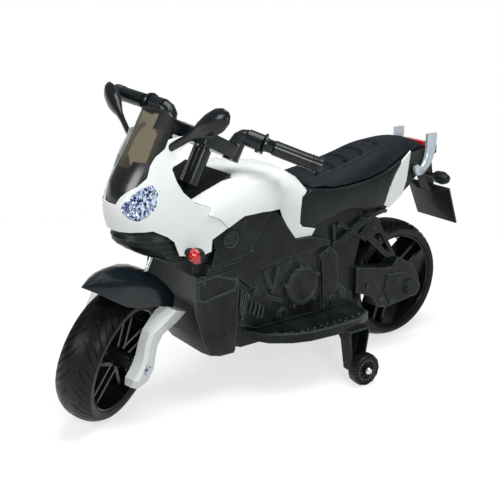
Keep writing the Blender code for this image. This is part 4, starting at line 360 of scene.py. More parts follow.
def screen_finish():
    """Smoked screen: brown in the middle, painted black at the foot, the top and both edges."""
    f = Finish("smoked_screen")
    side = f.along("X").size()
    height = f.along("Z")
    haze = f.noise(45.0, 3.0, 0.6)
    foot = (height < FOOT) | ((side > INNER_FOOT) & (height < FOOT_SIDES))
    edge = side > EDGE
    brow = (height > BROW) | ((side > INNER_BROW) & (height > BROW_SIDES))
    paint = foot | edge | brow
    tone = f.blend(rgb(0.19, 0.168, 0.115), rgb(0.24, 0.212, 0.15), haze)
    glass = f.add("ShaderNodeBsdfPrincipled", None,
                  {"Base Color": tone, "Roughness": 0.05 + haze * 0.05, "Transmission Weight": 0.82,
                   "IOR": 1.25, "Coat Weight": 0.3, "Coat Roughness": 0.03})
    black = f.add("ShaderNodeBsdfPrincipled", None,
                  {"Base Color": rgb(0.010, 0.012, 0.014), "Roughness": 0.16 + haze * 0.08})
    return f.close(f.add("ShaderNodeMixShader", None, {"Fac": paint, 1: glass, 2: black}))


SCREEN = screen_finish()
print("lamp and screen finishes:", CLEAR.name, RED.name, SCREEN.name)

# %% [markdown]
# ## Smooth skins with crisp edges
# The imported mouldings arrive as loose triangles, each with its own flat normal. A small
# node group welds them and shades them smooth, except over edges that turn sharply. It
# works as a modifier, so the mouldings themselves stay exactly as they were packed.

# %% A modifier that welds and smooths
def smoother(limit):
    """Geometry nodes that weld a moulding and keep edges over the limit, in degrees, sharp."""
    group = bpy.data.node_groups.new(f"smooth_below_{limit:g}", "GeometryNodeTree")
    for way in ("INPUT", "OUTPUT"):
        group.interface.new_socket("Geometry", in_out=way, socket_type="NodeSocketGeometry")

    def step(kind, before=None, settings=None, sockets=None):
        node = group.nodes.new(kind)
        for key, value in (settings or {}).items():
            setattr(node, key, value)
        for key, value in (sockets or {}).items():
            node.inputs[key].default_value = value
        if before:
            group.links.new(before.outputs[0], node.inputs[0])
        return node

    start = step("NodeGroupInput")
    plain = step("GeometryNodeRemoveAttribute", start, None, {"Name": "custom_normal"})
    welded = step("GeometryNodeMergeByDistance", plain, None, {"Distance": WELD})
    skin = step("GeometryNodeSetShadeSmooth", welded, {"domain": "FACE"}, {"Shade Smooth": True})
    crisp = step("GeometryNodeSetShadeSmooth", skin, {"domain": "EDGE"}, {"Shade Smooth": False})
    turn = step("GeometryNodeInputMeshEdgeAngle")
    sharp = step("ShaderNodeMath", turn, {"operation": "GREATER_THAN"}, {1: math.radians(limit)})
    group.links.new(sharp.outputs[0], crisp.inputs["Selection"])
    step("NodeGroupOutput", crisp)
    return group


SMOOTH = {limit: smoother(limit) for limit in (24, 33, 50)}


def dress(names, finish, limit=33, edge=0.0):
    """Gives mouldings their finish, smooth skins and, where edge is set, softened corners."""
    for name in names.split():
        piece = nodes[name]
        piece.data.materials.clear()
        piece.data.materials.append(finish)
        skin = piece.modifiers.new("smooth_skin", "NODES")
        skin.node_group = SMOOTH[limit]
        if edge:
            corner = piece.modifiers.new("soft_corners", "BEVEL")
            corner.width = edge
            corner.segments = 2
            corner.limit_method = "ANGLE"
            corner.angle_limit = math.radians(limit)
            corner.harden_normals = True


print("smoothing groups:", sorted(SMOOTH))

# %% Finish the mouldings
# The seat cushion isn't here, because its cover below takes its whole place.
dress("nose_fairing tank_cover", WHITE, edge=0.0009)
dress("fork_cover_left fork_cover_right tail_insert_left tail_insert_right", WHITE, edge=0.0008)
dress("fender", NAVY, 50, 0.0007)
dress("top_clamp", GLOSS, edge=0.0006)
dress("front_rim rear_rim", RIM, edge=0.0008)
dress("belly_pan engine_left engine_right swing_arm motor_gearbox", ENGINE, edge=0.0006)
dress("seat_base", SKIRT, edge=0.0008)
dress("chassis_left chassis_right cockpit_liner nose_duct side_panel_left side_panel_right"
      " frame_spar_left frame_spar_right rear_frame tail_tray plate_holder"
      " footboard_left footboard_right accelerator_pedal", BLACK, edge=0.0007)
dress("stab_bracket_left stab_bracket_right", BLACK, edge=0.0005)
dress("mirror_left mirror_right grip_left grip_right", GLOSS, 50)
dress("front_tyre rear_tyre", TYRE, 24)
dress("stab_wheel_left stab_wheel_right", TYRE)
dress("front_axle rear_axle stab_axle_left stab_axle_right fork steering_stem power_button", ZINC,
      edge=0.0003)
dress("grab_rail", SILVER, 50)
dress("tail_light rear_indicator_left rear_indicator_right turn_lens_left turn_lens_right", RED,
      edge=0.0004)
dress("horn_button", GLOSS, edge=0.0004)
dress("headlight_lens_left headlight_lens_right", CLEAR)
dress("reflector", PLATED)
dress("windshield", SCREEN)
dress("battery", BATTERY, edge=0.001)
print("dressed", sum(len(o.modifiers) > 0 for o in nodes.values()), "mouldings")

# %% Helpers that turn a mesh into a piece
def piece(name, bm, finish, body, smooth=True):
    """A finished piece that moves with a body of the toy."""
    bmesh.ops.recalc_face_normals(bm, faces=bm.faces)
    mesh = bpy.data.meshes.new(name)
    bm.to_mesh(mesh)
    bm.free()
    for face in mesh.polygons:
        face.use_smooth = smooth
    mesh.materials.append(finish)
    thing = bpy.data.objects.new(name, mesh)
    bpy.context.scene.collection.objects.link(thing)
    if smooth:
        mesh.set_sharp_from_angle(angle=math.radians(38))
    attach(thing, body)
    return thing


def facing(direction):
    """Rotation that turns +Z to a direction."""
    return Vector(direction).normalized().to_track_quat("Z", "Y").to_matrix().to_4x4()


def around(count):
    """Angles that share out a full turn."""
    return [2 * math.pi * n / count for n in range(count)]


def join_rings(bm, rings, closed=False):
    """Faces between each ring of points and the next, and over both ends unless it is closed."""
    count = len(rings[0])
    for low, high in zip(rings, rings[1:] + ([rings[0]] if closed else [])):
        for n in range(count):
            m = (n + 1) % count
            bm.faces.new((low[n], low[m], high[m], high[n]))
    if not closed:
        bm.faces.new(list(reversed(rings[0])))
        bm.faces.new(rings[-1])


def turned(bm, profile, at, direction, segments=20, spin=0.0):
    """Adds a turned solid. Its profile is (radius, height) pairs, from its base to its top."""
    place = Matrix.Translation(at) @ facing(direction) @ Matrix.Rotation(spin, 4, "Z")
    join_rings(bm, [[bm.verts.new(place @ Vector((radius * math.cos(angle),
                                                  radius * math.sin(angle), height)))
                     for angle in around(segments)] for radius, height in profile])


def hose(bm, points, radius, segments=8, closed=False):
    """Adds a round strip along points."""
    points = [Vector(p) for p in points]
    count = len(points)
    rings = []
    side = None
    for n, p in enumerate(points):
        before = points[(n - 1) % count] if closed or n else p
        after = points[(n + 1) % count] if closed or n < count - 1 else p
        ahead = (after - before).normalized()
        if side is None:
            side = ahead.orthogonal().normalized()
        side = (side - ahead * side.dot(ahead)).normalized()
        up = ahead.cross(side)
        rings.append([bm.verts.new(p + radius * (math.cos(a) * side + math.sin(a) * up))
                      for a in around(segments)])
    join_rings(bm, rings, closed)


def skin_of(*names):
    """A search tree over mouldings, to set pieces down on them."""
    points, faces = [], []
    for name in names:
        base = len(points)
        mesh = nodes[name].data
        points += [v.co.copy() for v in mesh.vertices]
        faces += [tuple(base + i for i in p.vertices) for p in mesh.polygons]
    return BVHTree.FromPolygons(points, faces)


def meeting(skin, start, direction, reach=1.0):
    """Where a straight line first meets a skin, and how the skin faces there, or None twice."""
    return skin.ray_cast(Vector(start), Vector(direction), reach)[:2]


# Small shifts for a line that slips between two faces.
NUDGES = ((0, 0, 0), (0.0003, 0.0004, 0.0005), (-0.0004, -0.0003, -0.0005), (0, 0.003, -0.003))


def landing(skin, start, direction, what):
    """Like meeting, but tries the nudges in turn and never comes back with nothing."""
    for nudge in NUDGES:
        spot, normal = meeting(skin, Vector(start) + Vector(nudge), direction)
        if spot is not None:
            return spot, normal
    raise ValueError(f"{what}: nothing to stand on from {tuple(start)}")


print("helpers:", [helper.__name__ for helper in (piece, turned, hose, skin_of, landing)])

# %% [markdown]
# ## Tyres with a tread
# The tyres in the frame have sixteen coarse grooves a side. The toy's tyres have curved
# sipes that start beside the crown and lean back over the shoulder, a long one and a
# short one in turn. The mesh below is sheared by the same curve, so that every sipe is
# simply a set of its columns pushed in, and stays sharp without a fine grid everywhere.

# %% Tread
CROWN_SHARES = [1.0, 0.985, 0.95, 0.90, 0.83, 0.75, 0.66, 0.56, 0.45, 0.34, 0.22, 0.11]
CROWN_DROP = 0.016         # how much lower the tread is at the shoulder than in the middle
BEAD_DROP = 0.031          # how much lower the bead is
LIP = [(0.93, 0.0005), (0.955, 0.004), (0.985, 0.006), (0.985, 0.009)]   # out, and over the bead
PITCHES = 20               # pairs of a long and a short sipe round the tyre
SIPE_DEPTH = 0.0021
LONG, SHORT = 0.16, 0.52   # where each kind of sipe starts, as a share of the half width
# Columns of one pitch: where each lies in it, and the start of the sipe that it belongs to.
COLUMNS = [(0.00, None), (0.05, LONG), (0.11, LONG), (0.16, None), (0.50, None),
           (0.54, SHORT), (0.59, SHORT), (0.63, None), (0.83, None)]


def tyre_rows(width, radius):
    """(side, radius, share) from the left bead over the tread to the right bead."""
    half_width = width / 2
    right = [(half_width * s, radius - CROWN_DROP * s ** 2.6 - (0.004 if s == 1.0 else 0.0), s)
             for s in CROWN_SHARES]
    bead = radius - BEAD_DROP
    wall = [(half_width * out, bead + up, 1.2) for out, up in LIP]
    side = wall + right
    return ([(-x, r, s) for x, r, s in side] + [(0.0, radius, 0.0)]
            + [(x, r, s) for x, r, s in reversed(side)])


def tyre(name, width, radius, joint_name):
    """A tread of long and short sipes on a rounded crown, with a lip at each bead."""
    joint = joints[joint_name]
    axle = Vector(joint["axis"])
    hub = Matrix.Translation(Vector(joint["pos_m"])) @ facing(axle if axle.x > 0 else -axle)
    rows = tyre_rows(width, radius)
    bm = bmesh.new()
    columns = []
    for n in range(PITCHES):
        for part, start in COLUMNS:
            column = []
            for x, r, share in rows:
                cut = start is not None and start < share < 0.97
                lean = 1.15 * min(share, 1.0) ** 1.25
                stagger = 0.5 if x < 0 else 0.0
                angle = 2 * math.pi * (n + part + lean + stagger * min(share * 4, 1.0)) / PITCHES
                deep = r - (SIPE_DEPTH if cut else 0.0)
                column.append(bm.verts.new(hub @ Vector((deep * math.cos(angle),
                                                         deep * math.sin(angle), x))))
            columns.append(column)
    join_rings(bm, columns, closed=True)
    made = piece(name + "_tread", bm, TYRE, joint["child"])
    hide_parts(name)
    print(made.name, "of", len(made.data.polygons), "faces")


tyre("front_tyre", 0.085, 0.1455, "front_wheel_spin")
tyre("rear_tyre", 0.101, 0.1497, "rear_wheel_spin")

# %% [markdown]
# ## The padded seat
# The real seat is a foam block under a sewn leathercloth cover. The cover has bowed
# channels across the rider's part, a stitched seam along each shoulder and a welt where it
# meets the pan. Sculpting would give the shape, but not the way that foam pushes cloth
# out between its seams, so a short cloth simulation blows the cover up from inside. Its
# sewn lines are pressed in afterwards, because the voxel mesh would swallow them.

# %% Leathercloth
def leathercloth():
    """Dark embossed cloth with slow folds and worn places."""
    f = Finish("seat_leathercloth")
    wobble = f.place + f.noise(130.0, 2.0) * 0.0012
    grain = f.cells(620.0, "DISTANCE_TO_EDGE", place=wobble).ramp(0.0, 0.22)
    fold = f.noise(26.0, 4.0, 0.55)
    wear = f.noise(11.0, 3.0).ramp(0.45, 0.7)
    tone = f.blend(rgb(0.0050, 0.0080, 0.0115), rgb(0.011, 0.016, 0.022), wear * 0.7 + grain * 0.15)
    relief = f.relief(grain, 0.00016, 0.8, f.relief(fold, 0.0012, 0.35))
    return f.surface(Base_Color=tone, Roughness=0.40 + (1 - grain) * 0.14 + wear * 0.07,
                     Normal=relief, Sheen_Weight=0.01, Sheen_Roughness=0.4, Specular_IOR_Level=0.16)


def thread_finish():
    """Twisted thread, lighter than the cloth."""
    f = Finish("seat_thread")
    twist = (f.along("Y") * 5200.0 + f.along("X") * 3000.0).wave() * 0.5 + 0.5
    return f.surface(Base_Color=f.blend(rgb(0.03, 0.034, 0.045), rgb(0.07, 0.075, 0.09), twist),
                     Roughness=0.6 + twist * 0.1, Normal=f.relief(twist, 0.0001))


LEATHER = leathercloth()
THREAD = thread_finish()
print("upholstery finishes:", LEATHER.name, THREAD.name)


# %% Blow up the cushion
PAD_VOXEL = 0.0048
PAD_START = 0.0022         # how far the cover starts inside its final shape
PAD_LIMIT = 0.0052         # how far the foam may push it
FOAM_FRAMES = 20           # length of the simulation
cushion_low, cushion_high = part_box("seat_cushion")


def in_voxels(thing, size):
    """Rebuilds an object's surface in even cells."""
    remesh = thing.modifiers.new("voxels", "REMESH")
    remesh.mode = "VOXEL"
    remesh.voxel_size = size
    remesh.use_smooth_shade = True


def blank_cushion():
    """A voxel copy of the cushion's solid, drawn in a little."""
    mesh = nodes["seat_cushion"].data.copy()
    blank = bpy.data.objects.new("seat_pad", mesh)
    bpy.context.scene.collection.objects.link(blank)
    bm = bmesh.new()
    bm.from_mesh(mesh)
    bmesh.ops.remove_doubles(bm, verts=bm.verts, dist=WELD)
    bm.normal_update()
    for v in bm.verts:
        v.co -= v.normal * PAD_START
    bm.to_mesh(mesh)
    bm.free()
    mesh.materials.clear()
    mesh.materials.append(LEATHER)
    in_voxels(blank, PAD_VOXEL)
    return blank


def baked(thing):
    """Replaces an object's mesh by the mesh that its modifiers make."""
    deps = bpy.context.evaluated_depsgraph_get()
    made = bpy.data.meshes.new_from_object(thing.evaluated_get(deps))
    thing.modifiers.clear()
    thing.data = made
    return thing


pad = baked(blank_cushion())
rest = [v.co.copy() for v in pad.data.vertices]
underside = [v.index for v in pad.data.vertices if v.normal.z < -0.35]
print("cushion blank:", len(rest), "points,", len(underside), "held on the pan")
held = pad.vertex_groups.new(name="held")
held.add(underside, 1.0, "REPLACE")
cloth = pad.modifiers.new("foam", "CLOTH")
cloth.settings.use_pressure = True
cloth.settings.uniform_pressure_force = 4.0
cloth.settings.effector_weights.gravity = 0.0
cloth.settings.vertex_group_mass = "held"
cloth.settings.tension_stiffness = 12.0
cloth.settings.compression_stiffness = 12.0
cloth.settings.bending_stiffness = 0.4
cloth.point_cache.frame_start = 1
cloth.point_cache.frame_end = FOAM_FRAMES
for tick in range(1, FOAM_FRAMES + 1):
    bpy.context.scene.frame_set(tick)
baked(pad)
bpy.context.scene.frame_set(1)
for v, start in zip(pad.data.vertices, rest):
    push = v.co - start
    if push.length > PAD_LIMIT:
        v.co = start + push * (PAD_LIMIT / push.length)
print("foam pushed the cover out by up to %.1f mm" %
      max((v.co - s).length * 1000 for v, s in zip(pad.data.vertices, rest)))

# %% Sew the channels and shoulder seams
CHANNELS = [0.112, 0.156, 0.200, 0.246, 0.300]       # where each channel crosses the middle
CHANNEL_BOW = -0.046       # how far forward a channel bends at FULL_HALF from the middle
CHANNEL_SLOPE = 0.006      # and how far back it runs there, straight
FULL_HALF = 0.085
CHANNEL_WIDTH, CHANNEL_DEPTH = 0.0036, 0.0062
CHANNEL_FADE = 0.26        # share of the half width over which it runs out
SHOULDER = 0.86            # shoulder seam, as a share of the half width
SEAM_WIDTH, SEAM_DEPTH = 0.0016, 0.0022
SEAM_END = 0.415           # how far back the seam runs
STATIONS = 60


def half_at(y):
    """Half width of the cushion at a distance along the toy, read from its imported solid."""
    widths = [(v.co.y, abs(v.co.x)) for v in nodes["seat_cushion"].data.vertices]
    nearest = sorted((abs(at - y), width) for at, width in widths)[:24]
    return max(width for _, width in nearest)


cushion_length = cushion_high.y - cushion_low.y
stations = [cushion_low.y + cushion_length * n / STATIONS for n in range(STATIONS + 1)]
half_table = [half_at(y) for y in stations]


def half(y):
    """The same half width, read from a table."""
    share = (y - cushion_low.y) / cushion_length * STATIONS
    n = max(0, min(STATIONS - 1, int(share)))
    part = min(1.0, max(0.0, share - n))
    return half_table[n] * (1 - part) + half_table[n + 1] * part


def sewn_depth(x, y):
    """How far the stitching pulls the cover in at a point."""
    width = max(half(y), 0.02)
    across = abs(x) / width
    depth = 0.0
    if across < SHOULDER + 0.03:
        for at in CHANNELS:
            line = at + CHANNEL_BOW * (abs(x) / FULL_HALF) ** 2 + CHANNEL_SLOPE * abs(x) / FULL_HALF
            away = (y - line) / CHANNEL_WIDTH
            fade = min(1.0, max(0.0, (SHOULDER - 0.02 - across) / CHANNEL_FADE))
            depth = max(depth, CHANNEL_DEPTH * fade * math.exp(-0.5 * away * away))
    if cushion_low.y + 0.02 < y < SEAM_END:
        away = (across - SHOULDER) * width / SEAM_WIDTH
        depth = max(depth, SEAM_DEPTH * math.exp(-0.5 * away * away))
    return depth


finer = pad.modifiers.new("finer", "SUBSURF")
finer.levels = finer.render_levels = 1
baked(pad)
for v in pad.data.vertices:
    if v.normal.z > 0.05:
        v.co -= v.normal * sewn_depth(v.co.x, v.co.y)
for face in pad.data.polygons:
    face.use_smooth = True
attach(pad, "chassis")
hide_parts("seat_cushion")
print("seat cover:", len(pad.data.polygons), "faces")

# %% A softly bulged skirt
SKIRT_SWELL = 0.0048       # how far the middle of a side stands out
SKIRT_SLOT = 0.008         # length over which the height of a side is measured


def soft_skirt():
    """The seat's side mouldings with rounded edges and swollen middles, as blow moulding leaves them."""
    mesh = nodes["seat_base"].data.copy()
    skirt = bpy.data.objects.new("seat_skirt", mesh)
    bpy.context.scene.collection.objects.link(skirt)
    mesh.materials.clear()
    mesh.materials.append(SKIRT)
    weld = skirt.modifiers.new("weld", "WELD")
    weld.merge_threshold = WELD
    in_voxels(skirt, 0.0016)
    relax = skirt.modifiers.new("relax", "SMOOTH")
    relax.factor, relax.iterations = 0.6, 7
    baked(skirt)
    spans = {}
    outer = [v for v in skirt.data.vertices if abs(v.normal.x) > 0.5 and v.normal.x * v.co.x > 0]
    for v in outer:
        slot = round(v.co.y / SKIRT_SLOT)
        low, high = spans.get(slot, (9.0, -9.0))
        spans[slot] = (min(low, v.co.z), max(high, v.co.z))
    first, last = min(v.co.y for v in outer), max(v.co.y for v in outer)
    for v in outer:
        low, high = spans[round(v.co.y / SKIRT_SLOT)]
        up = (v.co.z - low) / max(high - low, 0.01)
        along = min(1.0, (v.co.y - first) / 0.045, (last - v.co.y) / 0.045)
        swell = math.sin(math.pi * min(1.0, max(0.0, up))) ** 0.7 * max(0.0, along) ** 0.6
        v.co.x += math.copysign(SKIRT_SWELL * swell, v.co.x)
    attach(skirt, "chassis")
    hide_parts("seat_base")
    print("skirt:", len(skirt.data.polygons), "faces")


soft_skirt()

# %% Stitches and the welt
STITCH_PITCH = 0.0062
STITCH = (0.0, 0.0022, 0.0044)     # a stitch's ends and its middle, along the toy
pad_skin = BVHTree.FromObject(pad, bpy.context.evaluated_depsgraph_get())


def stitches():
    """Short raised stitches beside the shoulder seams."""
    bm = bmesh.new()
    count = 0
    y = cushion_low.y + 0.026
    while y < 0.412:
        for side in (-1, 1):
            ends = []
            for step in STITCH:
                x = side * (SHOULDER * half(y + step) - 0.0026)
                spot, normal = landing(pad_skin, (x, y + step, 0.6), (0, 0, -1), "stitch")
                ends.append(spot + normal * (0.0005 if step == STITCH[1] else -0.0002))
            hose(bm, ends, 0.00055, 6)
            count += 1
        y += STITCH_PITCH
    print("stitches:", count)
    piece("seat_stitches", bm, THREAD, "chassis")


def welt():
    """The corded edge of the cover, all round its foot."""
    bm = bmesh.new()
    line = []
    for y in stations[2:-2]:
        low = min(v.co.z for v in nodes["seat_cushion"].data.vertices if abs(v.co.y - y) < 0.016)
        line.append((half(y) * 0.985, y, low + 0.0022))
    loop = line + [(-x, y, z) for x, y, z in reversed(line)]
    hose(bm, loop, 0.0016, 8, True)
    piece("seat_welt", bm, LEATHER, "chassis")


stitches()
welt()

# %% [markdown]
# ## Small parts that a hand would find
# The mouldings are there, but a toy is also its small parts: a loudspeaker behind its
# bars, screws in the side mouldings, sleeves on the grips, dots on the footboards, facets
# behind each headlight lens and ribs on the stabiliser wheels. The speaker, the screws, the
# dots and the facets are set down along a straight line to the skin of the moulding that
# carries them. The sleeves and the ribs are measured on the piece that they belong to.

# %% Loudspeakers on the side panels
SPEAKER_Y, SPEAKER_Z = -0.186, 0.3745
SPEAKER_RADIUS = 0.0165
PANEL_X = 0.1125           # how far out the panel lies, for a line that slips past it


def from_side(skin, side, y, z):
    """Where a line from beside the toy to its middle meets a skin, and how the skin faces."""
    return meeting(skin, (side * 0.3, y, z), (-side, 0, 0), 0.3)


def speakers():
    """A ring and five bars on each side panel."""
    bm = bmesh.new()
    for side, name in ((1, "side_panel_left"), (-1, "side_panel_right")):
        skin = skin_of(name)

        def on_panel(y, z):
            spot = from_side(skin, side, y, z)[0]
            return (spot or Vector((side * PANEL_X, y, z))) + Vector((side * 0.0006, 0, 0))

        ring = [on_panel(SPEAKER_Y + SPEAKER_RADIUS * math.cos(a),
                         SPEAKER_Z + SPEAKER_RADIUS * math.sin(a)) for a in around(28)]
        hose(bm, ring, 0.0020, 8, True)
        for step in (-0.010, -0.005, 0.0, 0.005, 0.010):
            reach = math.sqrt(0.0150 ** 2 - step ** 2)
            hose(bm, [on_panel(SPEAKER_Y + reach * t, SPEAKER_Z + step)
                      for t in (-1.0, -0.33, 0.33, 1.0)], 0.0010, 6)
    made = piece("speaker_trim", bm, ENGINE, "chassis")
    print("speaker trim:", len(made.data.polygons), "faces")


speakers()


# %% Screws
SCREWED = ("engine_left", "engine_right", "swing_arm", "belly_pan", "side_panel_left",
           "side_panel_right", "frame_spar_left", "frame_spar_right", "rear_frame")
SCREWS = [(-0.2400, 0.2850), (-0.1200, 0.3350), (-0.0400, 0.2900), (0.0900, 0.2950),
          (0.1450, 0.1700), (-0.1450, 0.1850), (0.2210, 0.1810), (0.3000, 0.1320),
          (0.2400, 0.3220), (0.1300, 0.3450)]        # along the toy, and up
SCREW_HEAD = [(0.0046, -0.0008), (0.0046, 0.0008), (0.0038, 0.0014), (0.0030, 0.0014),
              (0.0026, 0.0006)]


def screws():
    """Screws in the side mouldings, wherever a moulding is flat enough for one."""
    skin = skin_of(*SCREWED)
    bm = bmesh.new()
    count = 0
    for side in (-1, 1):
        for y, z in SCREWS:
            spot, normal = from_side(skin, side, y, z)
            if spot is not None and abs(normal.x) >= 0.8:
                turned(bm, SCREW_HEAD, spot, normal, 14)
                count += 1
    piece("case_screws", bm, ZINC_DARK, "chassis")
    print("screws:", count)


screws()


# %% Sleeves of the grips
SLEEVE, RING, CAP = 0.0160, 0.0174, 0.0178     # radii


def grip_sleeves():
    """Sleeve over each grip, with two raised rings and a thick cap, measured on the grip."""
    for name in ("grip_left", "grip_right"):
        points = np.unique(np.array([v.co[:] for v in nodes[name].data.vertices]).round(5), axis=0)
        middle = points.mean(axis=0)
        ahead = Vector(np.linalg.svd(points - middle)[2][0])
        ahead *= math.copysign(1.0, ahead.x * middle[0])
        reach = (points - middle) @ np.array(ahead)
        root = Vector(middle) + ahead * reach.min()
        length = reach.max() - reach.min()
        profile = [(0.0120, length * 0.13), (SLEEVE, length * 0.14)]
        for at in (0.80, 0.85):
            profile += [(SLEEVE, length * at), (RING, length * at + 0.0010),
                        (RING, length * at + 0.0030), (SLEEVE, length * at + 0.0040)]
        profile += [(SLEEVE, length * 0.90), (CAP, length * 0.91), (CAP, length - 0.003),
                    (0.0155, length - 0.0004)]
        bm = bmesh.new()
        turned(bm, profile, root, ahead, 28)
        piece(name + "_sleeve", bm, GLOSS, "steering")
        print(name, "sleeve of %.0f mm" % (length * 1000))


grip_sleeves()


# %% Dots on the footboards
DOT_FIRST, DOT_PITCH, DOTS = -0.085, 0.0185, 13
DOT_INSET = 0.012          # from the edge of the board
DOT_SHAPE = [(0.0022, -0.0006), (0.0022, 0.0006), (0.0015, 0.0012)]


def board_dots():
    """A row of raised dots along the outer edge of each footboard."""
    skin = skin_of("footboard_left", "footboard_right")
    board = [v.co for v in nodes["footboard_left"].data.vertices]
    bm = bmesh.new()
    count = 0
    for side in (-1, 1):
        for n in range(DOTS):
            y = DOT_FIRST + DOT_PITCH * n
            edge = max((abs(p.x) for p in board if abs(p.y - y) < 0.03), default=0.15)
            x = side * (min(edge, 0.172) - DOT_INSET)
            spot, normal = meeting(skin, (x, y, 0.22), (0, 0, -1), 0.2)
            if spot is not None and normal.z >= 0.8:
                turned(bm, DOT_SHAPE, spot, normal, 10)
                count += 1
    piece("footboard_dots", bm, DOT, "chassis")
    print("dots:", count)


board_dots()


# %% Facets behind each headlight lens
FACET_PITCH = 0.0052


def headlight_facets():
    """Small four-sided facets on the reflector, strewn by a formula, some bright and some dark: the dark
    ones wear a darker copy of the plating, painted shade among the glints.
    """
    skin = skin_of("reflector")
    lens_skin = skin_of("headlight_lens_left", "headlight_lens_right")
    bright, dark = bmesh.new(), bmesh.new()
    count = 0
    for name in ("headlight_lens_right", "headlight_lens_left"):
        low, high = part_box(name)
        columns = int((high.x - low.x) / FACET_PITCH)
        rows = int((high.z - low.z) / FACET_PITCH)
        for i in range(columns):
            for k in range(rows):
                stray = math.sin(i * 12.9898 + k * 78.233) * 43758.5453
                stray -= math.floor(stray)
                x = low.x + (i + 0.15 + 0.7 * stray) * (high.x - low.x) / columns
                shift = 0.4 * (k % 2 - 0.5) * (1 - 2 * stray)
                z = low.z + (k + 0.5 + shift) * (high.z - low.z) / rows
                if meeting(lens_skin, (x, -0.7, z), (0, 1, 0))[0] is None:
                    continue
                spot = meeting(skin, (x, -0.7, z), (0, 1, 0))[0]
                if spot is None:
                    continue
                turn = (i * i * 37 + k * k * 61 + i * k * 11) % 17 / 17.0
                tilt = Vector((math.cos(turn * 6.28) * 0.45, -1.0,
                               math.sin(turn * 6.28) * 0.45 + 0.1))
                facet = [(0.0044, 0.0), (0.0036, 0.0018 + 0.0016 * stray), (0.0008, 0.0034)]
                # Some facets get the darker copy of the plating: painted shade among the glints.
                turned(dark if (i * i * 7 + k * k * 5 + i * k * 3) % 7 < 2 else bright, facet,
                       spot - Vector((0, 0.0004, 0)), tilt, 4, turn * 3.0)
                count += 1
    print("facets:", count)
    piece("headlight_facets", bright, PLATED, "chassis", smooth=False)
    piece("headlight_dark_facets", dark, PLATING_PAINTED_DARK, "chassis", smooth=False)


headlight_facets()


# %% Ribs of the stabiliser wheels
def stabiliser_ribs():
    """Spokes and a ring on the outer face of each stabiliser wheel."""
    for side, word in ((1, "left"), (-1, "right")):
        low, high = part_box(f"stab_wheel_{word}")
        centre = (Vector(low) + Vector(high)) / 2
        face = high.x if side > 0 else low.x
        radius = (high.z - low.z) / 2
        bm = bmesh.new()
        for angle in around(24):
            ray = Vector((0, math.cos(angle), math.sin(angle)))
            root = Vector((face - side * 0.0030, centre.y, centre.z))
            hose(bm, [root + ray * radius * 0.62, root + ray * radius * 0.80,
                      root + ray * radius * 0.955 - Vector((side * 0.0020, 0, 0))], 0.0011, 6)
        ring = [Vector((face - side * 0.0028, centre.y + radius * 0.60 * math.cos(a),
                        centre.z + radius * 0.60 * math.sin(a))) for a in around(32)]
        hose(bm, ring, 0.0014, 6, True)
        piece(f"stab_ribs_{word}", bm, ENGINE, joints[f"stab_{word}_spin"]["child"])


stabiliser_ribs()
print("small parts set")

# %% [markdown]
# ## Studio
# The photograph has a white ground and soft light. A large area light overhead gives the
# long highlights on the black plastic, two smaller ones light the front and the camera's
# side, a weak sky fills the shadows, and the floor keeps the toy's shadow. The white
# behind the toy is only what the camera sees of the sky, directly or through a lens, and
# the floor glows only for the camera and in reflections, so neither lights the paint.

# %% Floor
def floor_finish():
    """Pale paper that keeps shadows near the toy and runs out to plain white."""
    f = Finish("studio_floor")
    seen = (f.add("ShaderNodeLightPath", out="Is Camera Ray")
            | f.add("ShaderNodeLightPath", out="Is Glossy Ray"))
    tone = f.blend(rgb(0.45, 0.455, 0.455), rgb(0.47, 0.475, 0.475), f.noise(1.5, 2.0))
    paper = f.add("ShaderNodeBsdfDiffuse", None, {"Color": tone})
    glow = f.add("ShaderNodeEmission", None, {"Color": rgb(1, 1, 1), "Strength": 0.66})
    lifted = f.add("ShaderNodeAddShader", None, {0: paper, 1: glow})
    white = f.add("ShaderNodeEmission", None, {"Color": rgb(1, 1, 1), "Strength": 1.0})
    away = f.add("ShaderNodeVectorMath", {"operation": "LENGTH"}, {0: f.place}, "Value")
    shown = f.add("ShaderNodeMixShader", None, {"Fac": away.ramp(0.85, 1.6), 1: lifted, 2: white})
    return f.close(f.add("ShaderNodeMixShader", None, {"Fac": seen, 1: paper, 2: shown}))


FLOOR = 30.0               # how far the floor reaches each way
floor_mesh = bpy.data.meshes.new("studio_floor")
floor_mesh.from_pydata([(-FLOOR, -FLOOR, 0), (FLOOR, -FLOOR, 0), (FLOOR, FLOOR, 0),
                        (-FLOOR, FLOOR, 0)], [], [(0, 1, 2, 3)])
floor_mesh.materials.append(floor_finish())
floor = bpy.data.objects.new("studio_floor", floor_mesh)
bpy.context.scene.collection.objects.link(floor)
floor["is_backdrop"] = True
print("floor laid")

# %% Sky and lamps
world = bpy.data.worlds.new("studio")
bpy.context.scene.world = world
world.use_nodes = True
sky = world.node_tree
sky.nodes.clear()
path = sky.nodes.new("ShaderNodeLightPath")
seen = sky.nodes.new("ShaderNodeMath")
seen.operation = "MAXIMUM"
sky.links.new(path.outputs["Is Camera Ray"], seen.inputs[0])
sky.links.new(path.outputs["Is Transmission Ray"], seen.inputs[1])


def backdrop(colour, strength):
    shade = sky.nodes.new("ShaderNodeBackground")
    shade.inputs["Color"].default_value = colour
    shade.inputs["Strength"].default_value = strength
    return shade.outputs[0]


choose = sky.nodes.new("ShaderNodeMixShader")
sky.links.new(seen.outputs[0], choose.inputs["Fac"])
sky.links.new(backdrop(rgb(0.97, 0.985, 1.0), 0.20), choose.inputs[1])
sky.links.new(backdrop(rgb(1, 1, 1), 1.0), choose.inputs[2])
out = sky.nodes.new("ShaderNodeOutputWorld")
sky.links.new(choose.outputs[0], out.inputs["Surface"])


MIDDLE = Vector((0.0, 0.0, 0.25))      # what every lamp is turned to


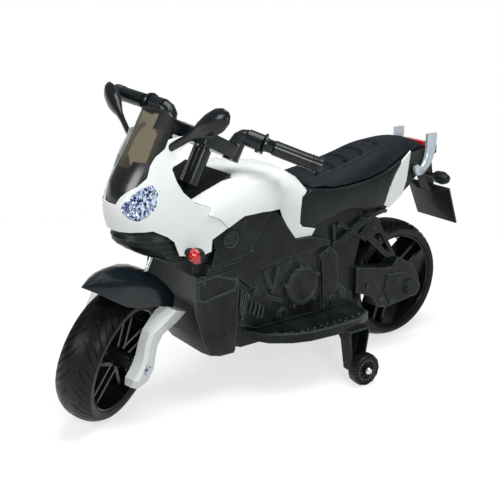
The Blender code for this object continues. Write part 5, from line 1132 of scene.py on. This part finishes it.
def softbox(name, at, width, depth, power):
    """A rectangular soft lamp, turned to the middle of the toy."""
    lamp = bpy.data.lights.new(name, "AREA")
    lamp.shape = "RECTANGLE"
    lamp.size, lamp.size_y = width, depth
    lamp.energy = power
    holder = bpy.data.objects.new(name, lamp)
    bpy.context.scene.collection.objects.link(holder)
    holder.matrix_world = Matrix.Translation(at) @ facing(Vector(at) - MIDDLE)


softbox("overhead", (0.3, 0.1, 2.3), 1.6, 1.9, 51.0)
softbox("camera_side", (2.7, -0.9, 1.5), 0.9, 0.8, 32.0)
softbox("front_left", (0.1, -2.7, 1.5), 0.9, 0.9, 24.0)

# %% [markdown]
# ## Camera
# The camera stands where the photographer stood: in front of the toy's left side, and
# higher than the handlebar. Its angles, distance and lens were solved from points that
# can be found both in the photograph and on the model.

# %% Camera
AZIMUTH, ELEVATION, ROLL = (math.radians(a) for a in (53.6629, 17.866, 0.2317))
TARGET = Vector((0.0, -0.0525, 0.2968))
DISTANCE = 2.1157
SENSOR, FOCAL = 36.0, 67.774           # in millimetres
back = Vector((math.sin(AZIMUTH) * math.cos(ELEVATION),
               -math.cos(AZIMUTH) * math.cos(ELEVATION), math.sin(ELEVATION)))
level = Vector((math.cos(AZIMUTH), math.sin(AZIMUTH), 0.0))
upward = back.cross(level)
right = level * math.cos(ROLL) + upward * math.sin(ROLL)
up = upward * math.cos(ROLL) - level * math.sin(ROLL)
view = Matrix((right, up, back)).transposed().to_4x4()
view.translation = TARGET + back * DISTANCE
lens_data = bpy.data.cameras.new("photo_camera")
lens_data.sensor_width = SENSOR
lens_data.lens = FOCAL
camera = bpy.data.objects.new("photo_camera", lens_data)
bpy.context.scene.collection.objects.link(camera)
camera.matrix_world = view
bpy.context.scene.camera = camera
bpy.context.scene.view_settings.view_transform = "Standard"
print("camera at", [round(c, 3) for c in camera.location])

# %% [markdown]
# ## Sizes of the mouldings and of the dressed toy
# The dressed toy has to stay the size of its mouldings, to within half a millimetre on
# each side. The width, length and height of both are printed, so that they can be
# compared.

# %% Finish
dressed_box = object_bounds()
for axis, name in enumerate(("width", "length", "height")):
    was = cad_box[1][axis] - cad_box[0][axis]
    now = dressed_box[1][axis] - dressed_box[0][axis]
    print("%s: mouldings %.1f mm, dressed %.1f mm" % (name, was * 1000, now * 1000))
